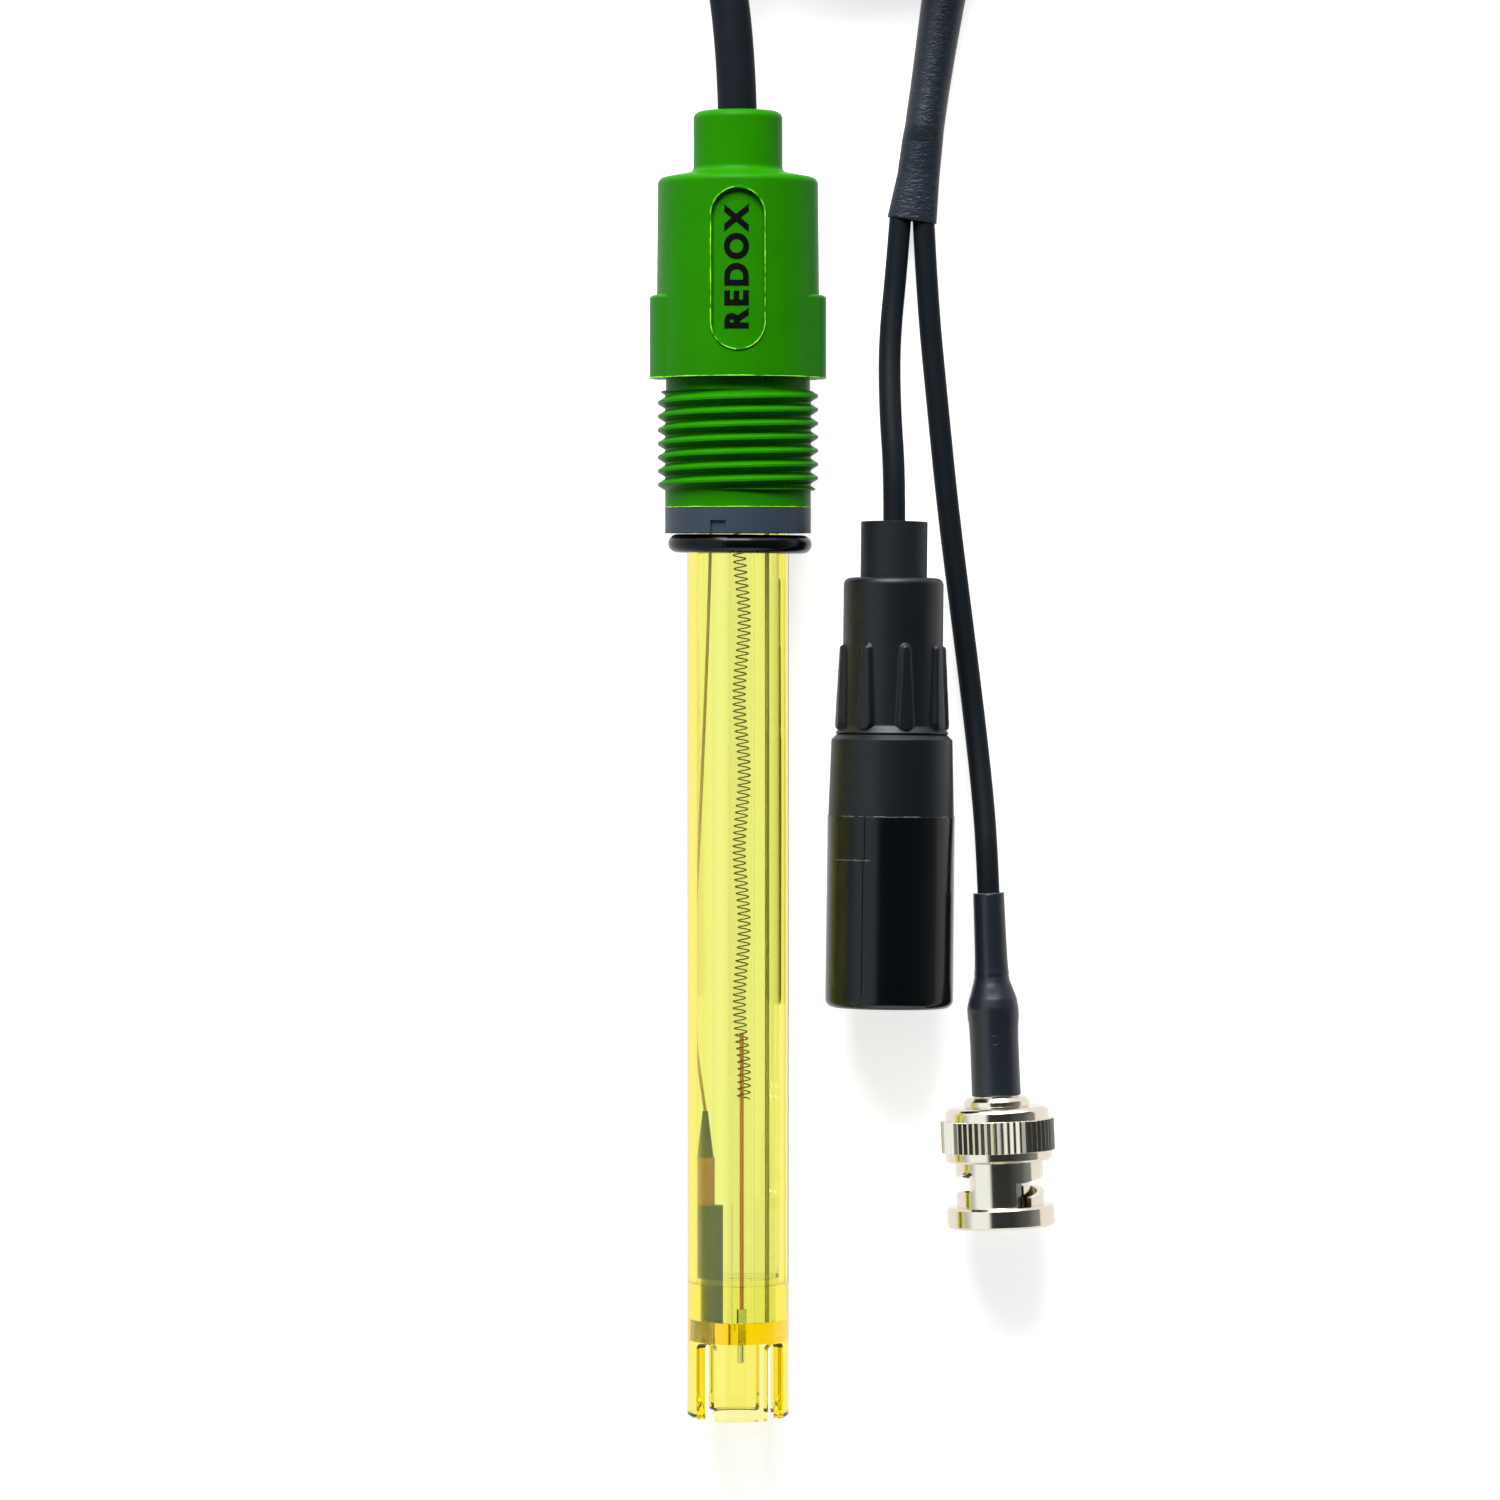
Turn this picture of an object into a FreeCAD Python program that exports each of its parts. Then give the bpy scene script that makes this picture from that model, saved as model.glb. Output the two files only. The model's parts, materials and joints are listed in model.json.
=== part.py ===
import FreeCAD, Part
import math
import os

# A redox electrode for a pipe or tank, lying on a flat surface with its label up.
# Millimetres. The electrode's axis runs along +Y towards the nose, the surface is at Z = 0, and the origin
# is below the middle of the electrode.
#
# Each sub-assembly is modelled upright about +Z and then laid in its place:
#   the electrode from its prong ends (Z = 0) to its nose, its label facing -Y
#   the round connector from its cap's closed end to its cable boot
#   the coax bayonet plug from its mouth to its heat-shrink boot

# Electrode: heights of its stretches, from the prong ends to the nose
PRONG_LENGTH = 10.2
TIP_BODY_HEIGHT = 7.8
TUBE_IN_VIEW = 100.0
SEAT_RING_HEIGHT = 3.4
LAND_HEIGHT = 2.3
THREAD_LENGTH = 13.2
NECK_HEIGHT = 1.7
BARREL_HEIGHT = 26.5
SHOULDER_RISE = 0.9
NOSE_HEIGHT = 8.0

# Electrode: radii
TUBE_RADIUS = 6.8
SEAT_RING_RADIUS = 9.72
LAND_RADIUS = 9.7
NECK_RADIUS = 9.6
BARREL_FOOT_RADIUS = 10.9
BARREL_TOP_RADIUS = 10.65
NOSE_RADIUS = 5.92

# Pipe thread, 14 turns to the inch
THREAD_PITCH = 25.4 / 14
THREAD_CREST_RADIUS = 10.67
THREAD_ROOT_RADIUS = 9.73
THREAD_CREST_FLAT = 0.35
THREAD_ROOT_FLAT = 0.3
THREAD_CHAMFER = 0.5
GROOVE_OVERRUN = 0.15
GROOVE_START = 121.28
GROOVE_RISE = 16.45
THREAD_TURN = 90.0

# Head details
LUG_REACH = 11.75
LUG_BREADTH = 9.1
LUG_HEIGHT = 11.0
LUG_ROUND = 0.5
RECESS_WIDTH = 6.9
RECESS_LENGTH = 21.0
RECESS_FOOT = 3.6
RECESS_DEPTH = 0.5
RECESS_RIM_WIDTH = 0.25
RECESS_RIM_HEIGHT = 0.12
NOSE_ROUND = 1.0
NOSE_FOOT_ROUND = 0.8
SHOULDER_ROUND = 0.9
SEAT_FIT = 0.05
TUBE_SOCKET_DEPTH = 29.2
CHAMBER_RADIUS = 5.2
CHAMBER_HEIGHT = 8.6
CONDUCTOR_BORE_RADIUS = 1.6
CABLE_SOCKET_DEPTH = 6.0

# Seat ring and O-ring
NOTCH_WIDTH = 2.0
NOTCH_HEIGHT = 1.65
NOTCH_DEPTH = 0.35
NOTCH_OFFSET = -2.6
O_RING_SECTION = 2.45
O_RING_CLEARANCE = 0.32
O_RING_DROP = 0.2
O_RING_SHIFT = 0.26
O_RING_LEAN = 0.6

# Tube and tip guard
TUBE_WALL = 1.25
SPIGOT_LENGTH = 0.8
SPIGOT_WALL = 0.4
PRONG_WALL = 1.45
PRONG_COUNT = 4
PRONG_TURN = 4.0
SLOT_ANGLE = 26.5
SLOT_ROUND = 0.9
SLOT_INNER_OVERRUN = 0.3
PRONG_CHAMFER = 0.3
TIP_FLOOR = 2.8

# What the tube holds, each piece at its place across the tube
STEM_RADIUS = 1.25
STEM_WALL = 0.3
STEM_PLACE = (0.36, 0.0)
STEM_SEAL = 1.4
COIL_LEAD_RADIUS = 0.85
COIL_LEAD_WALL = 0.25
COIL_LEAD_LENGTH = 108.0
SENSOR_PIN_RADIUS = 0.5
SENSOR_PIN_CHAMFER = 0.2
SENSOR_PIN_REACH = 3.2
SENSOR_PIN_LENGTH = 7.5
SENSOR_LEAD_RADIUS = 0.2
SENSOR_LEAD_IN_COIL = 8.8
REFERENCE_WIRE_RADIUS = 0.22
REFERENCE_WIRE_PLACE = (2.82, 0.4)
CELL_RADIUS = 1.7
CELL_HEIGHT = 15.3
CELL_PLACE = (-3.1, 0.9)
PLUG_RADIUS = 0.9
PLUG_HEIGHT = 6.4
SEAL_HEIGHT = 6.2
SEAL_FOOT_RADIUS = 0.8
SEAL_TOP_RADIUS = 0.25
JUNCTION_RADIUS = 1.1
JUNCTION_REACH = 0.4
REFERENCE_LEAD_RADIUS = 0.15
REFERENCE_LEAD_DRIFT = [(-4.1, 9.0), (-4.25, 22.0), (-3.5, 42.0), (-2.75, 66.0), (-2.35, 90.0)]
REFERENCE_LEAD_TOP = (-2.3, 0.9)
BUNG_HEIGHT = 3.6
LEAD_FIT = 0.05

# Lead: jacket sizes and its coil
CABLE_RADIUS = 2.6
BRANCH_RADIUS = 1.48
CORD_FIT = 0.05
COIL_CENTRE = (12.9, 152.8)
COIL_MIDDLE_RADIUS = 27.5
COIL_LAYERS = 4
COIL_COLUMNS = 4
COIL_CORNER = 2.34
BRANCH_SOCKET_DEPTH = 3.0

# Round multi-pin connector
CONNECTOR_END = (20.17, -32.3)
CONNECTOR_BOOT_TOP = (20.88, 32.3)
CAP_LENGTH = 25.6
CAP_END_RADIUS = 8.55
CAP_MOUTH_RADIUS = 8.5
CAP_FLOOR = 2.0
CAP_ROUND = 1.2
CAP_FIT = 0.1
SHELL_RADIUS = 6.65
SHELL_WALL = 0.6
SHELL_REACH = 12.0
SHELL_IN_BARREL = 7.0
KEY_WIDTH = 1.6
KEY_HEIGHT = 0.7
INSERT_RECESS = 7.5
INSERT_HEIGHT = 8.0
CONTACT_RADIUS = 0.7
CONTACT_CIRCLE = 3.3
CONTACT_COUNT = 5
CONTACT_SPREAD = 180.0
CONTACT_RECESS = 1.5
CONTACT_TAIL = 3.0
CONTACT_ROUND = 0.42
BARREL_LENGTH = 11.0
BARREL_FRONT_RADIUS = 8.4
BARREL_REAR_RADIUS = 8.1
BARREL_CHAMFER = 0.8
BARREL_SPIGOT_RADIUS = 5.6
BARREL_SPIGOT_LENGTH = 6.0
BARREL_SPIGOT_WALL = 0.9
NUT_SKIRT_LENGTH = 12.0
NUT_NECK_LENGTH = 8.8
NUT_FOOT_RADIUS = 6.95
NUT_NECK_RADIUS = 6.68
NUT_ROUND = 0.9
NUT_LIP = 6.8
RIB_COUNT = 8
RIB_TURN = 13.0
RIB_FOOT_RADIUS = 7.7
RIB_TOP_RADIUS = 7.2
RIB_FOOT_WIDTH = 2.5
RIB_TOP_WIDTH = 1.4
RIB_CORNER = 0.35
RIB_ROOT = 0.6
BOOT_RADIUS = 4.45
BOOT_IN_VIEW = 7.5
BOOT_FLANGE_RADIUS = 5.4
BOOT_FLANGE_HEIGHT = 1.5

# Coax bayonet plug
PLUG_MOUTH = (35.23, -61.55)
PLUG_BOOT_TOP = (33.51, -17.0)
FLANGE_HEIGHT = 2.8
FLANGE_RADIUS = 7.2
SLEEVE_HEIGHT = 6.0
SLEEVE_RADIUS = 5.85
BAND_HEIGHT = 1.3
BAND_RADIUS = 7.15
KNURL_HEIGHT = 4.2
KNURL_RADIUS = 7.6
KNURL_DEPTH = 0.35
KNURL_TEETH = 54
REAR_HEIGHT = 1.7
REAR_RADIUS = 6.95
REAR_ROUND = 0.9
COUPLING_BORE_RADIUS = 4.95
COUPLING_WALL = 3.4
COUPLING_RUN = 0.05
COUPLING_EDGE = 0.3
SLOT_WIDTH = 2.2
SLOT_SWEEP = 99.0
SLOT_DETENT_HEIGHT = 6.3
SLOT_DETENT_RADIUS = 1.4
SLOT_DETENT_ANGLE = -50.0
SLOT_FOOT_HEIGHT = 4.9
SLOT_GROOVE_DEPTH = 0.7
BODY_NECK_RADIUS = 4.1
BODY_COLLAR_RADIUS = 4.4
BODY_COLLAR_HEIGHT = 1.15
BODY_COLLAR_GAP = 0.15
BODY_COLLAR_CHAMFER = 0.5
BODY_FLANGE_RADIUS = 4.8
BODY_FLANGE_HEIGHT = 1.5
FINGER_RADIUS = 4.05
FINGER_WALL = 0.6
FINGER_RECESS = 1.0
FINGER_COUNT = 4
FINGER_SLIT = 0.5
WASHER_HEIGHT = 0.4
WASHER_GAP = 0.08
GASKET_HEIGHT = 1.0
GASKET_RADIUS = 4.75
INSULATOR_RECESS = 5.5
CENTRE_PIN_RADIUS = 0.68
CENTRE_PIN_RECESS = 2.2
CENTRE_PIN_ROUND = 0.4
FERRULE_RADIUS = 2.9
FERRULE_WALL = 0.4
FERRULE_LENGTH = 10.0
COAX_BOOT_RADIUS = 3.3
COAX_BOOT_BULGE_RADIUS = 3.45
COAX_BOOT_BULGE = 11.5
COAX_BOOT_BULGE_RUN = 1.6
COAX_BOOT_STEP = 16.8
COAX_BOOT_STEP_RUN = 1.2
COAX_BOOT_SOFTENING = 0.25
COAX_BOOT_TOP_RADIUS = 2.12
COAX_BOOT_GAP = 0.15

# Heights of the electrode's stations, from its prong ends
Z_TIP = PRONG_LENGTH
Z_FLOOR = Z_TIP + TIP_FLOOR
Z_JOINT = Z_TIP + TIP_BODY_HEIGHT
Z_RING = Z_JOINT + TUBE_IN_VIEW
Z_LAND = Z_RING + SEAT_RING_HEIGHT
Z_THREAD = Z_LAND + LAND_HEIGHT
Z_NECK = Z_THREAD + THREAD_LENGTH
Z_BARREL = Z_NECK + NECK_HEIGHT
Z_SHOULDER = Z_BARREL + BARREL_HEIGHT
Z_NOSE = Z_SHOULDER + SHOULDER_RISE
Z_TOP = Z_NOSE + NOSE_HEIGHT
Z_TUBE_TOP = Z_LAND + TUBE_SOCKET_DEPTH
Z_CABLE = Z_TOP - CABLE_SOCKET_DEPTH
TUBE_BORE_RADIUS = TUBE_RADIUS - TUBE_WALL
STEM_BORE_RADIUS = STEM_RADIUS - STEM_WALL

# Heights of the round connector's stations, from its cap's closed end
Z_MOUTH = CAP_LENGTH - SHELL_REACH
Z_BARREL_REAR = CAP_LENGTH + BARREL_LENGTH
Z_NUT_NECK = Z_BARREL_REAR + NUT_SKIRT_LENGTH
Z_NUT_TOP = Z_NUT_NECK + NUT_NECK_LENGTH
Z_BOOT_TOP = Z_NUT_TOP + BOOT_IN_VIEW
Z_INSERT = Z_MOUTH + INSERT_RECESS
SHELL_BORE_RADIUS = SHELL_RADIUS - SHELL_WALL

# Heights of the bayonet plug's stations, from its mouth
Z_SLEEVE = FLANGE_HEIGHT
Z_BAND = Z_SLEEVE + SLEEVE_HEIGHT
Z_KNURL = Z_BAND + BAND_HEIGHT
Z_REAR = Z_KNURL + KNURL_HEIGHT
Z_COUPLING_TOP = Z_REAR + REAR_HEIGHT
Z_COUPLING_FLOOR = Z_COUPLING_TOP - COUPLING_WALL
Z_COLLAR = Z_COUPLING_TOP + BODY_COLLAR_GAP
Z_PLUG_REAR = Z_COLLAR + BODY_COLLAR_HEIGHT
Z_FLANGE_REAR = Z_COUPLING_FLOOR - WASHER_GAP - WASHER_HEIGHT
Z_FLANGE_FRONT = Z_FLANGE_REAR - BODY_FLANGE_HEIGHT
FINGER_BORE_RADIUS = FINGER_RADIUS - FINGER_WALL

# The electrode rests on its prongs and on its first thread crest, which tips its axis up towards the nose
AXIS_TILT = math.atan((THREAD_CREST_RADIUS - TUBE_RADIUS) / (Z_THREAD + THREAD_CHAMFER))
TIP_HEIGHT = TUBE_RADIUS * math.cos(AXIS_TILT)
NEAR_END = -TUBE_RADIUS * math.sin(AXIS_TILT)
FAR_END = (
    (Z_TOP - NOSE_ROUND) * math.cos(AXIS_TILT)
    + (NOSE_RADIUS - NOSE_ROUND) * math.sin(AXIS_TILT)
    + NOSE_ROUND
)
TIP_Y = -(NEAR_END + FAR_END) / 2

# The cord routes, as points chosen along the lead
MAIN_START_ROUTE = [(-2.3, 110.6, 11.3), (-8.0, 121.1, 9.2), (-16.0, 132.6, 7.8)]
MAIN_START_RUN = 6.0
MAIN_END_ROUTE = [(39.9, 130.1, 2.65), (33.5, 122.5, 2.62), (29.7, 114.3, 2.7), (28.08, 105.5, 2.95)]
BRANCH_A_ROUTE = [
    (21.94, 74.6, 1.8),
    (21.3, 66.5, 1.78),
    (20.35, 57.2, 3.0),
    (20.35, 48.0, 5.9),
    (20.946, 38.5, 8.55),
]
BRANCH_B_ROUTE = [
    (24.93, 74.6, 1.8),
    (25.5, 63.0, 1.6),
    (26.9, 48.5, 1.55),
    (28.3, 34.5, 1.54),
    (30.15, 20.0, 1.6),
    (31.75, 7.0, 2.3),
    (32.95, -5.0, 5.2),
    (33.36, -13.0, 7.6),
]

# The heat-shrink sleeve's sections from its top to its foot: place, half width and half height
SLEEVE_SECTIONS = [
    ((28.26, 106.47, 2.95), 3.0, 2.95),
    ((27.45, 102.0, 2.93), 2.9, 2.9),
    ((26.64, 96.64, 2.85), 2.75, 2.75),
    ((25.8, 91.0, 2.75), 2.65, 2.65),
    ((25.1, 86.0, 2.7), 2.65, 2.65),
    ((24.85, 84.2, 2.3), 2.75, 2.25),
    ((24.31, 79.62, 2.0), 2.85, 1.95),
    ((23.43, 73.5, 1.85), 3.35, 1.85),
]

UP = FreeCAD.Vector(0, 0, 1)
CENTRE = FreeCAD.Vector(0, 0, 0)


def revolve(outline):
    """Turn a closed outline of (radius, height) points about Z."""
    points = [FreeCAD.Vector(radius, 0, height) for radius, height in outline]
    face = Part.Face(Part.makePolygon(points + points[:1]))
    return face.revolve(CENTRE, UP, 360)


def rod(radius, low, high, place=(0.0, 0.0)):
    """A plain round bar from one height to another."""
    return Part.makeCylinder(radius, high - low, FreeCAD.Vector(place[0], place[1], low))


def pipe(outer, inner, low, high, place=(0.0, 0.0)):
    """A plain tube from one height to another."""
    return rod(outer, low, high, place).cut(rod(inner, low - 1, high + 1, place))


def rims(shape, radius, height):
    """The round edges of this radius at this height."""
    found = []
    for edge in shape.Edges:
        if not isinstance(edge.Curve, Part.Circle):
            continue
        same_radius = abs(edge.Curve.Radius - radius) < 0.01
        same_height = abs(edge.Curve.Center.z - height) < 0.01
        if same_radius and same_height:
            found.append(edge)
    return found


def turned(shape, degrees):
    """A copy turned about Z."""
    return shape.copy().rotate(CENTRE, UP, degrees)


def barrel_cone(growth):
    """The barrel's tapered outline, grown or shrunk all round."""
    foot = BARREL_FOOT_RADIUS + growth
    top = BARREL_TOP_RADIUS + growth
    return Part.makeCone(foot, top, BARREL_HEIGHT, FreeCAD.Vector(0, 0, Z_BARREL))


def stadium(width, length, foot):
    """A round-ended slab that stands in front of the barrel, for the label recess."""
    radius = width / 2
    low = foot + radius
    high = foot + length - radius
    corners = [
        FreeCAD.Vector(radius, 0, low),
        FreeCAD.Vector(radius, 0, high),
        FreeCAD.Vector(-radius, 0, high),
        FreeCAD.Vector(-radius, 0, low),
    ]
    crown = Part.Arc(corners[1], FreeCAD.Vector(0, 0, high + radius), corners[2])
    base = Part.Arc(corners[3], FreeCAD.Vector(0, 0, low - radius), corners[0])
    right = Part.LineSegment(corners[0], corners[1])
    left = Part.LineSegment(corners[2], corners[3])
    wire = Part.Wire([right.toShape(), crown.toShape(), left.toShape(), base.toShape()])
    return Part.Face(wire).extrude(FreeCAD.Vector(0, -2 * BARREL_FOOT_RADIUS, 0))


def swept_ridge(pitch, height, radius, profile):
    """Sweep a closed profile of (radius, height) points along a right-hand helix."""
    helix = Part.Wire(Part.makeHelix(pitch, height, radius))
    points = [FreeCAD.Vector(x, 0, z) for x, z in profile]
    outline = Part.makePolygon(points + points[:1])
    return helix.makePipeShell([outline], True, True)


def thread_groove():
    """The V groove of the pipe thread, from below the thread to inside the neck."""
    depth = THREAD_CREST_RADIUS - THREAD_ROOT_RADIUS
    spread = (THREAD_PITCH - THREAD_CREST_FLAT - THREAD_ROOT_FLAT) / 2
    mouth = THREAD_ROOT_FLAT / 2 + spread * (1 + GROOVE_OVERRUN / depth)
    root = THREAD_ROOT_FLAT / 2
    profile = [
        (THREAD_ROOT_RADIUS, -root),
        (THREAD_CREST_RADIUS + GROOVE_OVERRUN, -mouth),
        (THREAD_CREST_RADIUS + GROOVE_OVERRUN, mouth),
        (THREAD_ROOT_RADIUS, root),
    ]
    groove = swept_ridge(THREAD_PITCH, GROOVE_RISE, THREAD_ROOT_RADIUS, profile)
    groove.translate(FreeCAD.Vector(0, 0, GROOVE_START))
    return groove


def head_outside():
    """The head's turned outline with its thread, and the two side lugs."""
    outline = [
        (0, Z_LAND),
        (LAND_RADIUS, Z_LAND),
        (LAND_RADIUS, Z_THREAD),
        (THREAD_CREST_RADIUS - THREAD_CHAMFER, Z_THREAD),
        (THREAD_CREST_RADIUS, Z_THREAD + THREAD_CHAMFER),
        (THREAD_CREST_RADIUS, Z_NECK - THREAD_CHAMFER),
        (THREAD_CREST_RADIUS - THREAD_CHAMFER, Z_NECK),
        (NECK_RADIUS, Z_NECK),
        (NECK_RADIUS, Z_BARREL),
        (BARREL_FOOT_RADIUS, Z_BARREL),
        (BARREL_TOP_RADIUS, Z_SHOULDER),
        (NOSE_RADIUS, Z_NOSE),
        (NOSE_RADIUS, Z_TOP),
        (0, Z_TOP),
    ]
    head = revolve(outline)
    head = head.makeFillet(SHOULDER_ROUND, rims(head, BARREL_TOP_RADIUS, Z_SHOULDER))
    head = head.makeFillet(NOSE_FOOT_ROUND, rims(head, NOSE_RADIUS, Z_NOSE))
    head = head.makeFillet(NOSE_ROUND, rims(head, NOSE_RADIUS, Z_TOP))
    head = turned(head.cut(thread_groove()), THREAD_TURN)
    return head.fuse(side_lugs())


def side_lugs():
    """The two grip lugs at the barrel's foot: an oval that runs softly into the barrel."""
    oval = Part.Ellipse(CENTRE, LUG_REACH, LUG_BREADTH).toShape()
    lugs = Part.Face(Part.Wire(oval)).extrude(FreeCAD.Vector(0, 0, LUG_HEIGHT))
    lugs.translate(FreeCAD.Vector(0, 0, Z_BARREL))
    top = [edge for edge in lugs.Edges if edge.BoundBox.ZMin > Z_BARREL + LUG_HEIGHT - 1]
    return lugs.makeFillet(LUG_ROUND, top)


def threaded_head():
    """The green moulded head: thread, barrel with its label recess, nose and inner sockets."""
    head = head_outside()
    recess_foot = Z_BARREL + RECESS_FOOT
    pocket = stadium(RECESS_WIDTH, RECESS_LENGTH, recess_foot)
    rim_outside = stadium(
        RECESS_WIDTH + 2 * RECESS_RIM_WIDTH,
        RECESS_LENGTH + 2 * RECESS_RIM_WIDTH,
        recess_foot - RECESS_RIM_WIDTH,
    )
    rim = rim_outside.common(barrel_cone(RECESS_RIM_HEIGHT)).cut(barrel_cone(-RECESS_DEPTH))
    head = head.fuse(rim)
    head = head.cut(pocket.cut(barrel_cone(-RECESS_DEPTH)))
    head = head.cut(rod(TUBE_RADIUS + SEAT_FIT, Z_LAND - 1, Z_TUBE_TOP))
    head = head.cut(rod(CHAMBER_RADIUS, Z_TUBE_TOP - 1, Z_TUBE_TOP + CHAMBER_HEIGHT))
    head = head.cut(rod(CONDUCTOR_BORE_RADIUS, Z_TUBE_TOP, Z_CABLE + 1))
    return head.cut(rod(CABLE_RADIUS + CORD_FIT, Z_CABLE, Z_TOP + 1))


def seat_ring():
    """The grey ring under the thread, with a small square notch at its lower edge."""
    ring = pipe(SEAT_RING_RADIUS, TUBE_RADIUS + SEAT_FIT, Z_RING, Z_LAND)
    corner = FreeCAD.Vector(NOTCH_OFFSET - NOTCH_WIDTH / 2, -SEAT_RING_RADIUS - 1, Z_RING - 1)
    notch = Part.makeBox(NOTCH_WIDTH, SEAT_RING_RADIUS, NOTCH_HEIGHT + 1, corner)
    return ring.cut(notch.cut(rod(SEAT_RING_RADIUS - NOTCH_DEPTH, Z_RING - 2, Z_LAND)))


def o_ring():
    """The O-ring, loose on the tube under the seat ring and hanging a little to one side."""
    section = O_RING_SECTION / 2
    ring = Part.makeTorus(TUBE_RADIUS + O_RING_CLEARANCE + section, section)
    ring.rotate(CENTRE, FreeCAD.Vector(0, 1, 0), O_RING_LEAN)
    ring.translate(FreeCAD.Vector(O_RING_SHIFT, 0, Z_RING - section - O_RING_DROP))
    return ring


def shaft_tube():
    """The clear tube, from its joint with the tip up into the head."""
    return pipe(TUBE_RADIUS, TUBE_BORE_RADIUS, Z_JOINT, Z_TUBE_TOP)


def prong_slot(degrees):
    """The gap between two prongs, with its two upper corners rounded."""
    half = math.radians(SLOT_ANGLE / 2)
    reach = 2 * TUBE_RADIUS
    points = [
        CENTRE,
        FreeCAD.Vector(reach * math.cos(half), -reach * math.sin(half), 0),
        FreeCAD.Vector(reach * math.cos(half), reach * math.sin(half), 0),
    ]
    wedge = Part.Face(Part.makePolygon(points + points[:1]))
    wedge = wedge.extrude(FreeCAD.Vector(0, 0, PRONG_LENGTH + 1))
    wedge.translate(FreeCAD.Vector(0, 0, -1))
    wedge = wedge.cut(rod(TUBE_RADIUS - PRONG_WALL - SLOT_INNER_OVERRUN, -2, PRONG_LENGTH + 1))
    flanks = [edge for edge in wedge.Edges if is_slot_corner(edge)]
    return turned(wedge.makeFillet(SLOT_ROUND, flanks), degrees)


def is_slot_corner(edge):
    """Whether an edge is one of the two straight upper corners of a slot."""
    box = edge.BoundBox
    level = box.ZMin > PRONG_LENGTH - 0.01
    return level and isinstance(edge.Curve, Part.Line) and box.XLength > 1


def tip_guard():
    """The clear tip: a floor that carries the sensor, a spigot in the tube, and four prongs."""
    spigot_radius = TUBE_BORE_RADIUS - SEAT_FIT
    prong_inner = TUBE_RADIUS - PRONG_WALL
    outline = [
        (prong_inner, 0),
        (TUBE_RADIUS - PRONG_CHAMFER, 0),
        (TUBE_RADIUS, PRONG_CHAMFER),
        (TUBE_RADIUS, Z_JOINT),
        (spigot_radius, Z_JOINT),
        (spigot_radius, Z_JOINT + SPIGOT_LENGTH),
        (cavity_radius(), Z_JOINT + SPIGOT_LENGTH),
        (cavity_radius(), Z_FLOOR),
        (0, Z_FLOOR),
        (0, Z_TIP),
        (prong_inner, Z_TIP),
    ]
    guard = revolve(outline)
    for number in range(PRONG_COUNT):
        degrees = PRONG_TURN + (number + 0.5) * 360 / PRONG_COUNT
        guard = guard.cut(prong_slot(degrees))
    guard = guard.cut(rod(STEM_RADIUS + LEAD_FIT, Z_TIP - 1, Z_FLOOR + 1, STEM_PLACE))
    return guard.cut(rod(JUNCTION_RADIUS, Z_TIP - 1, Z_FLOOR + 1, CELL_PLACE))


def inner_stem():
    """The glass stem, sealed round the sensor pin at its foot."""
    stem = pipe(STEM_RADIUS, STEM_BORE_RADIUS, Z_TIP + STEM_SEAL, Z_TUBE_TOP, STEM_PLACE)
    foot = rod(STEM_RADIUS, Z_TIP, Z_TIP + STEM_SEAL, STEM_PLACE)
    foot = foot.cut(rod(SENSOR_PIN_RADIUS, Z_TIP - 1, Z_FLOOR, STEM_PLACE))
    return stem.fuse(foot).removeSplitter()


def sensor_pin():
    """The platinum pin that stands out between the prongs."""
    foot = Z_TIP - SENSOR_PIN_REACH
    pin = rod(SENSOR_PIN_RADIUS, foot, foot + SENSOR_PIN_LENGTH, STEM_PLACE)
    return pin.makeChamfer(SENSOR_PIN_CHAMFER, rims(pin, SENSOR_PIN_RADIUS, foot))


def coiled_lead():
    """The outside of the fine coiled wire in the stem."""
    top = Z_TUBE_TOP
    return pipe(
        COIL_LEAD_RADIUS, COIL_LEAD_RADIUS - COIL_LEAD_WALL, top - COIL_LEAD_LENGTH, top, STEM_PLACE
    )


def sensor_lead():
    """The thin lead from the sensor pin up into the coiled wire."""
    foot = Z_TIP - SENSOR_PIN_REACH + SENSOR_PIN_LENGTH
    top = Z_TUBE_TOP - COIL_LEAD_LENGTH + SENSOR_LEAD_IN_COIL
    return rod(SENSOR_LEAD_RADIUS, foot, top, STEM_PLACE)


def reference_wire():
    """The straight wire beside the stem, from the tip's floor to the bung."""
    return rod(REFERENCE_WIRE_RADIUS, Z_FLOOR, Z_TUBE_TOP, REFERENCE_WIRE_PLACE)


def reference_cell():
    """The reference cell that stands on the tip's floor over the junction."""
    return rod(CELL_RADIUS, Z_FLOOR, Z_FLOOR + CELL_HEIGHT, CELL_PLACE)


def reference_plug():
    """The plug on the reference cell."""
    foot = Z_FLOOR + CELL_HEIGHT
    return rod(PLUG_RADIUS, foot, foot + PLUG_HEIGHT, CELL_PLACE)


def reference_seal():
    """The pointed seal on the plug."""
    foot = FreeCAD.Vector(CELL_PLACE[0], CELL_PLACE[1], Z_FLOOR + CELL_HEIGHT + PLUG_HEIGHT)
    return Part.makeCone(SEAL_FOOT_RADIUS, SEAL_TOP_RADIUS, SEAL_HEIGHT, foot)


def reference_lead(radius=REFERENCE_LEAD_RADIUS):
    """The thin lead that leaves the seal, drifts to the tube's wall and comes back to the bung."""
    foot = Z_FLOOR + CELL_HEIGHT + PLUG_HEIGHT + SEAL_HEIGHT
    left = CELL_PLACE[0]
    back = CELL_PLACE[1]
    points = [(left, back, foot)]
    points += [(across, back, foot + height) for across, height in REFERENCE_LEAD_DRIFT]
    points.append((*REFERENCE_LEAD_TOP, Z_TUBE_TOP))
    return tube(points, radius)


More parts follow.
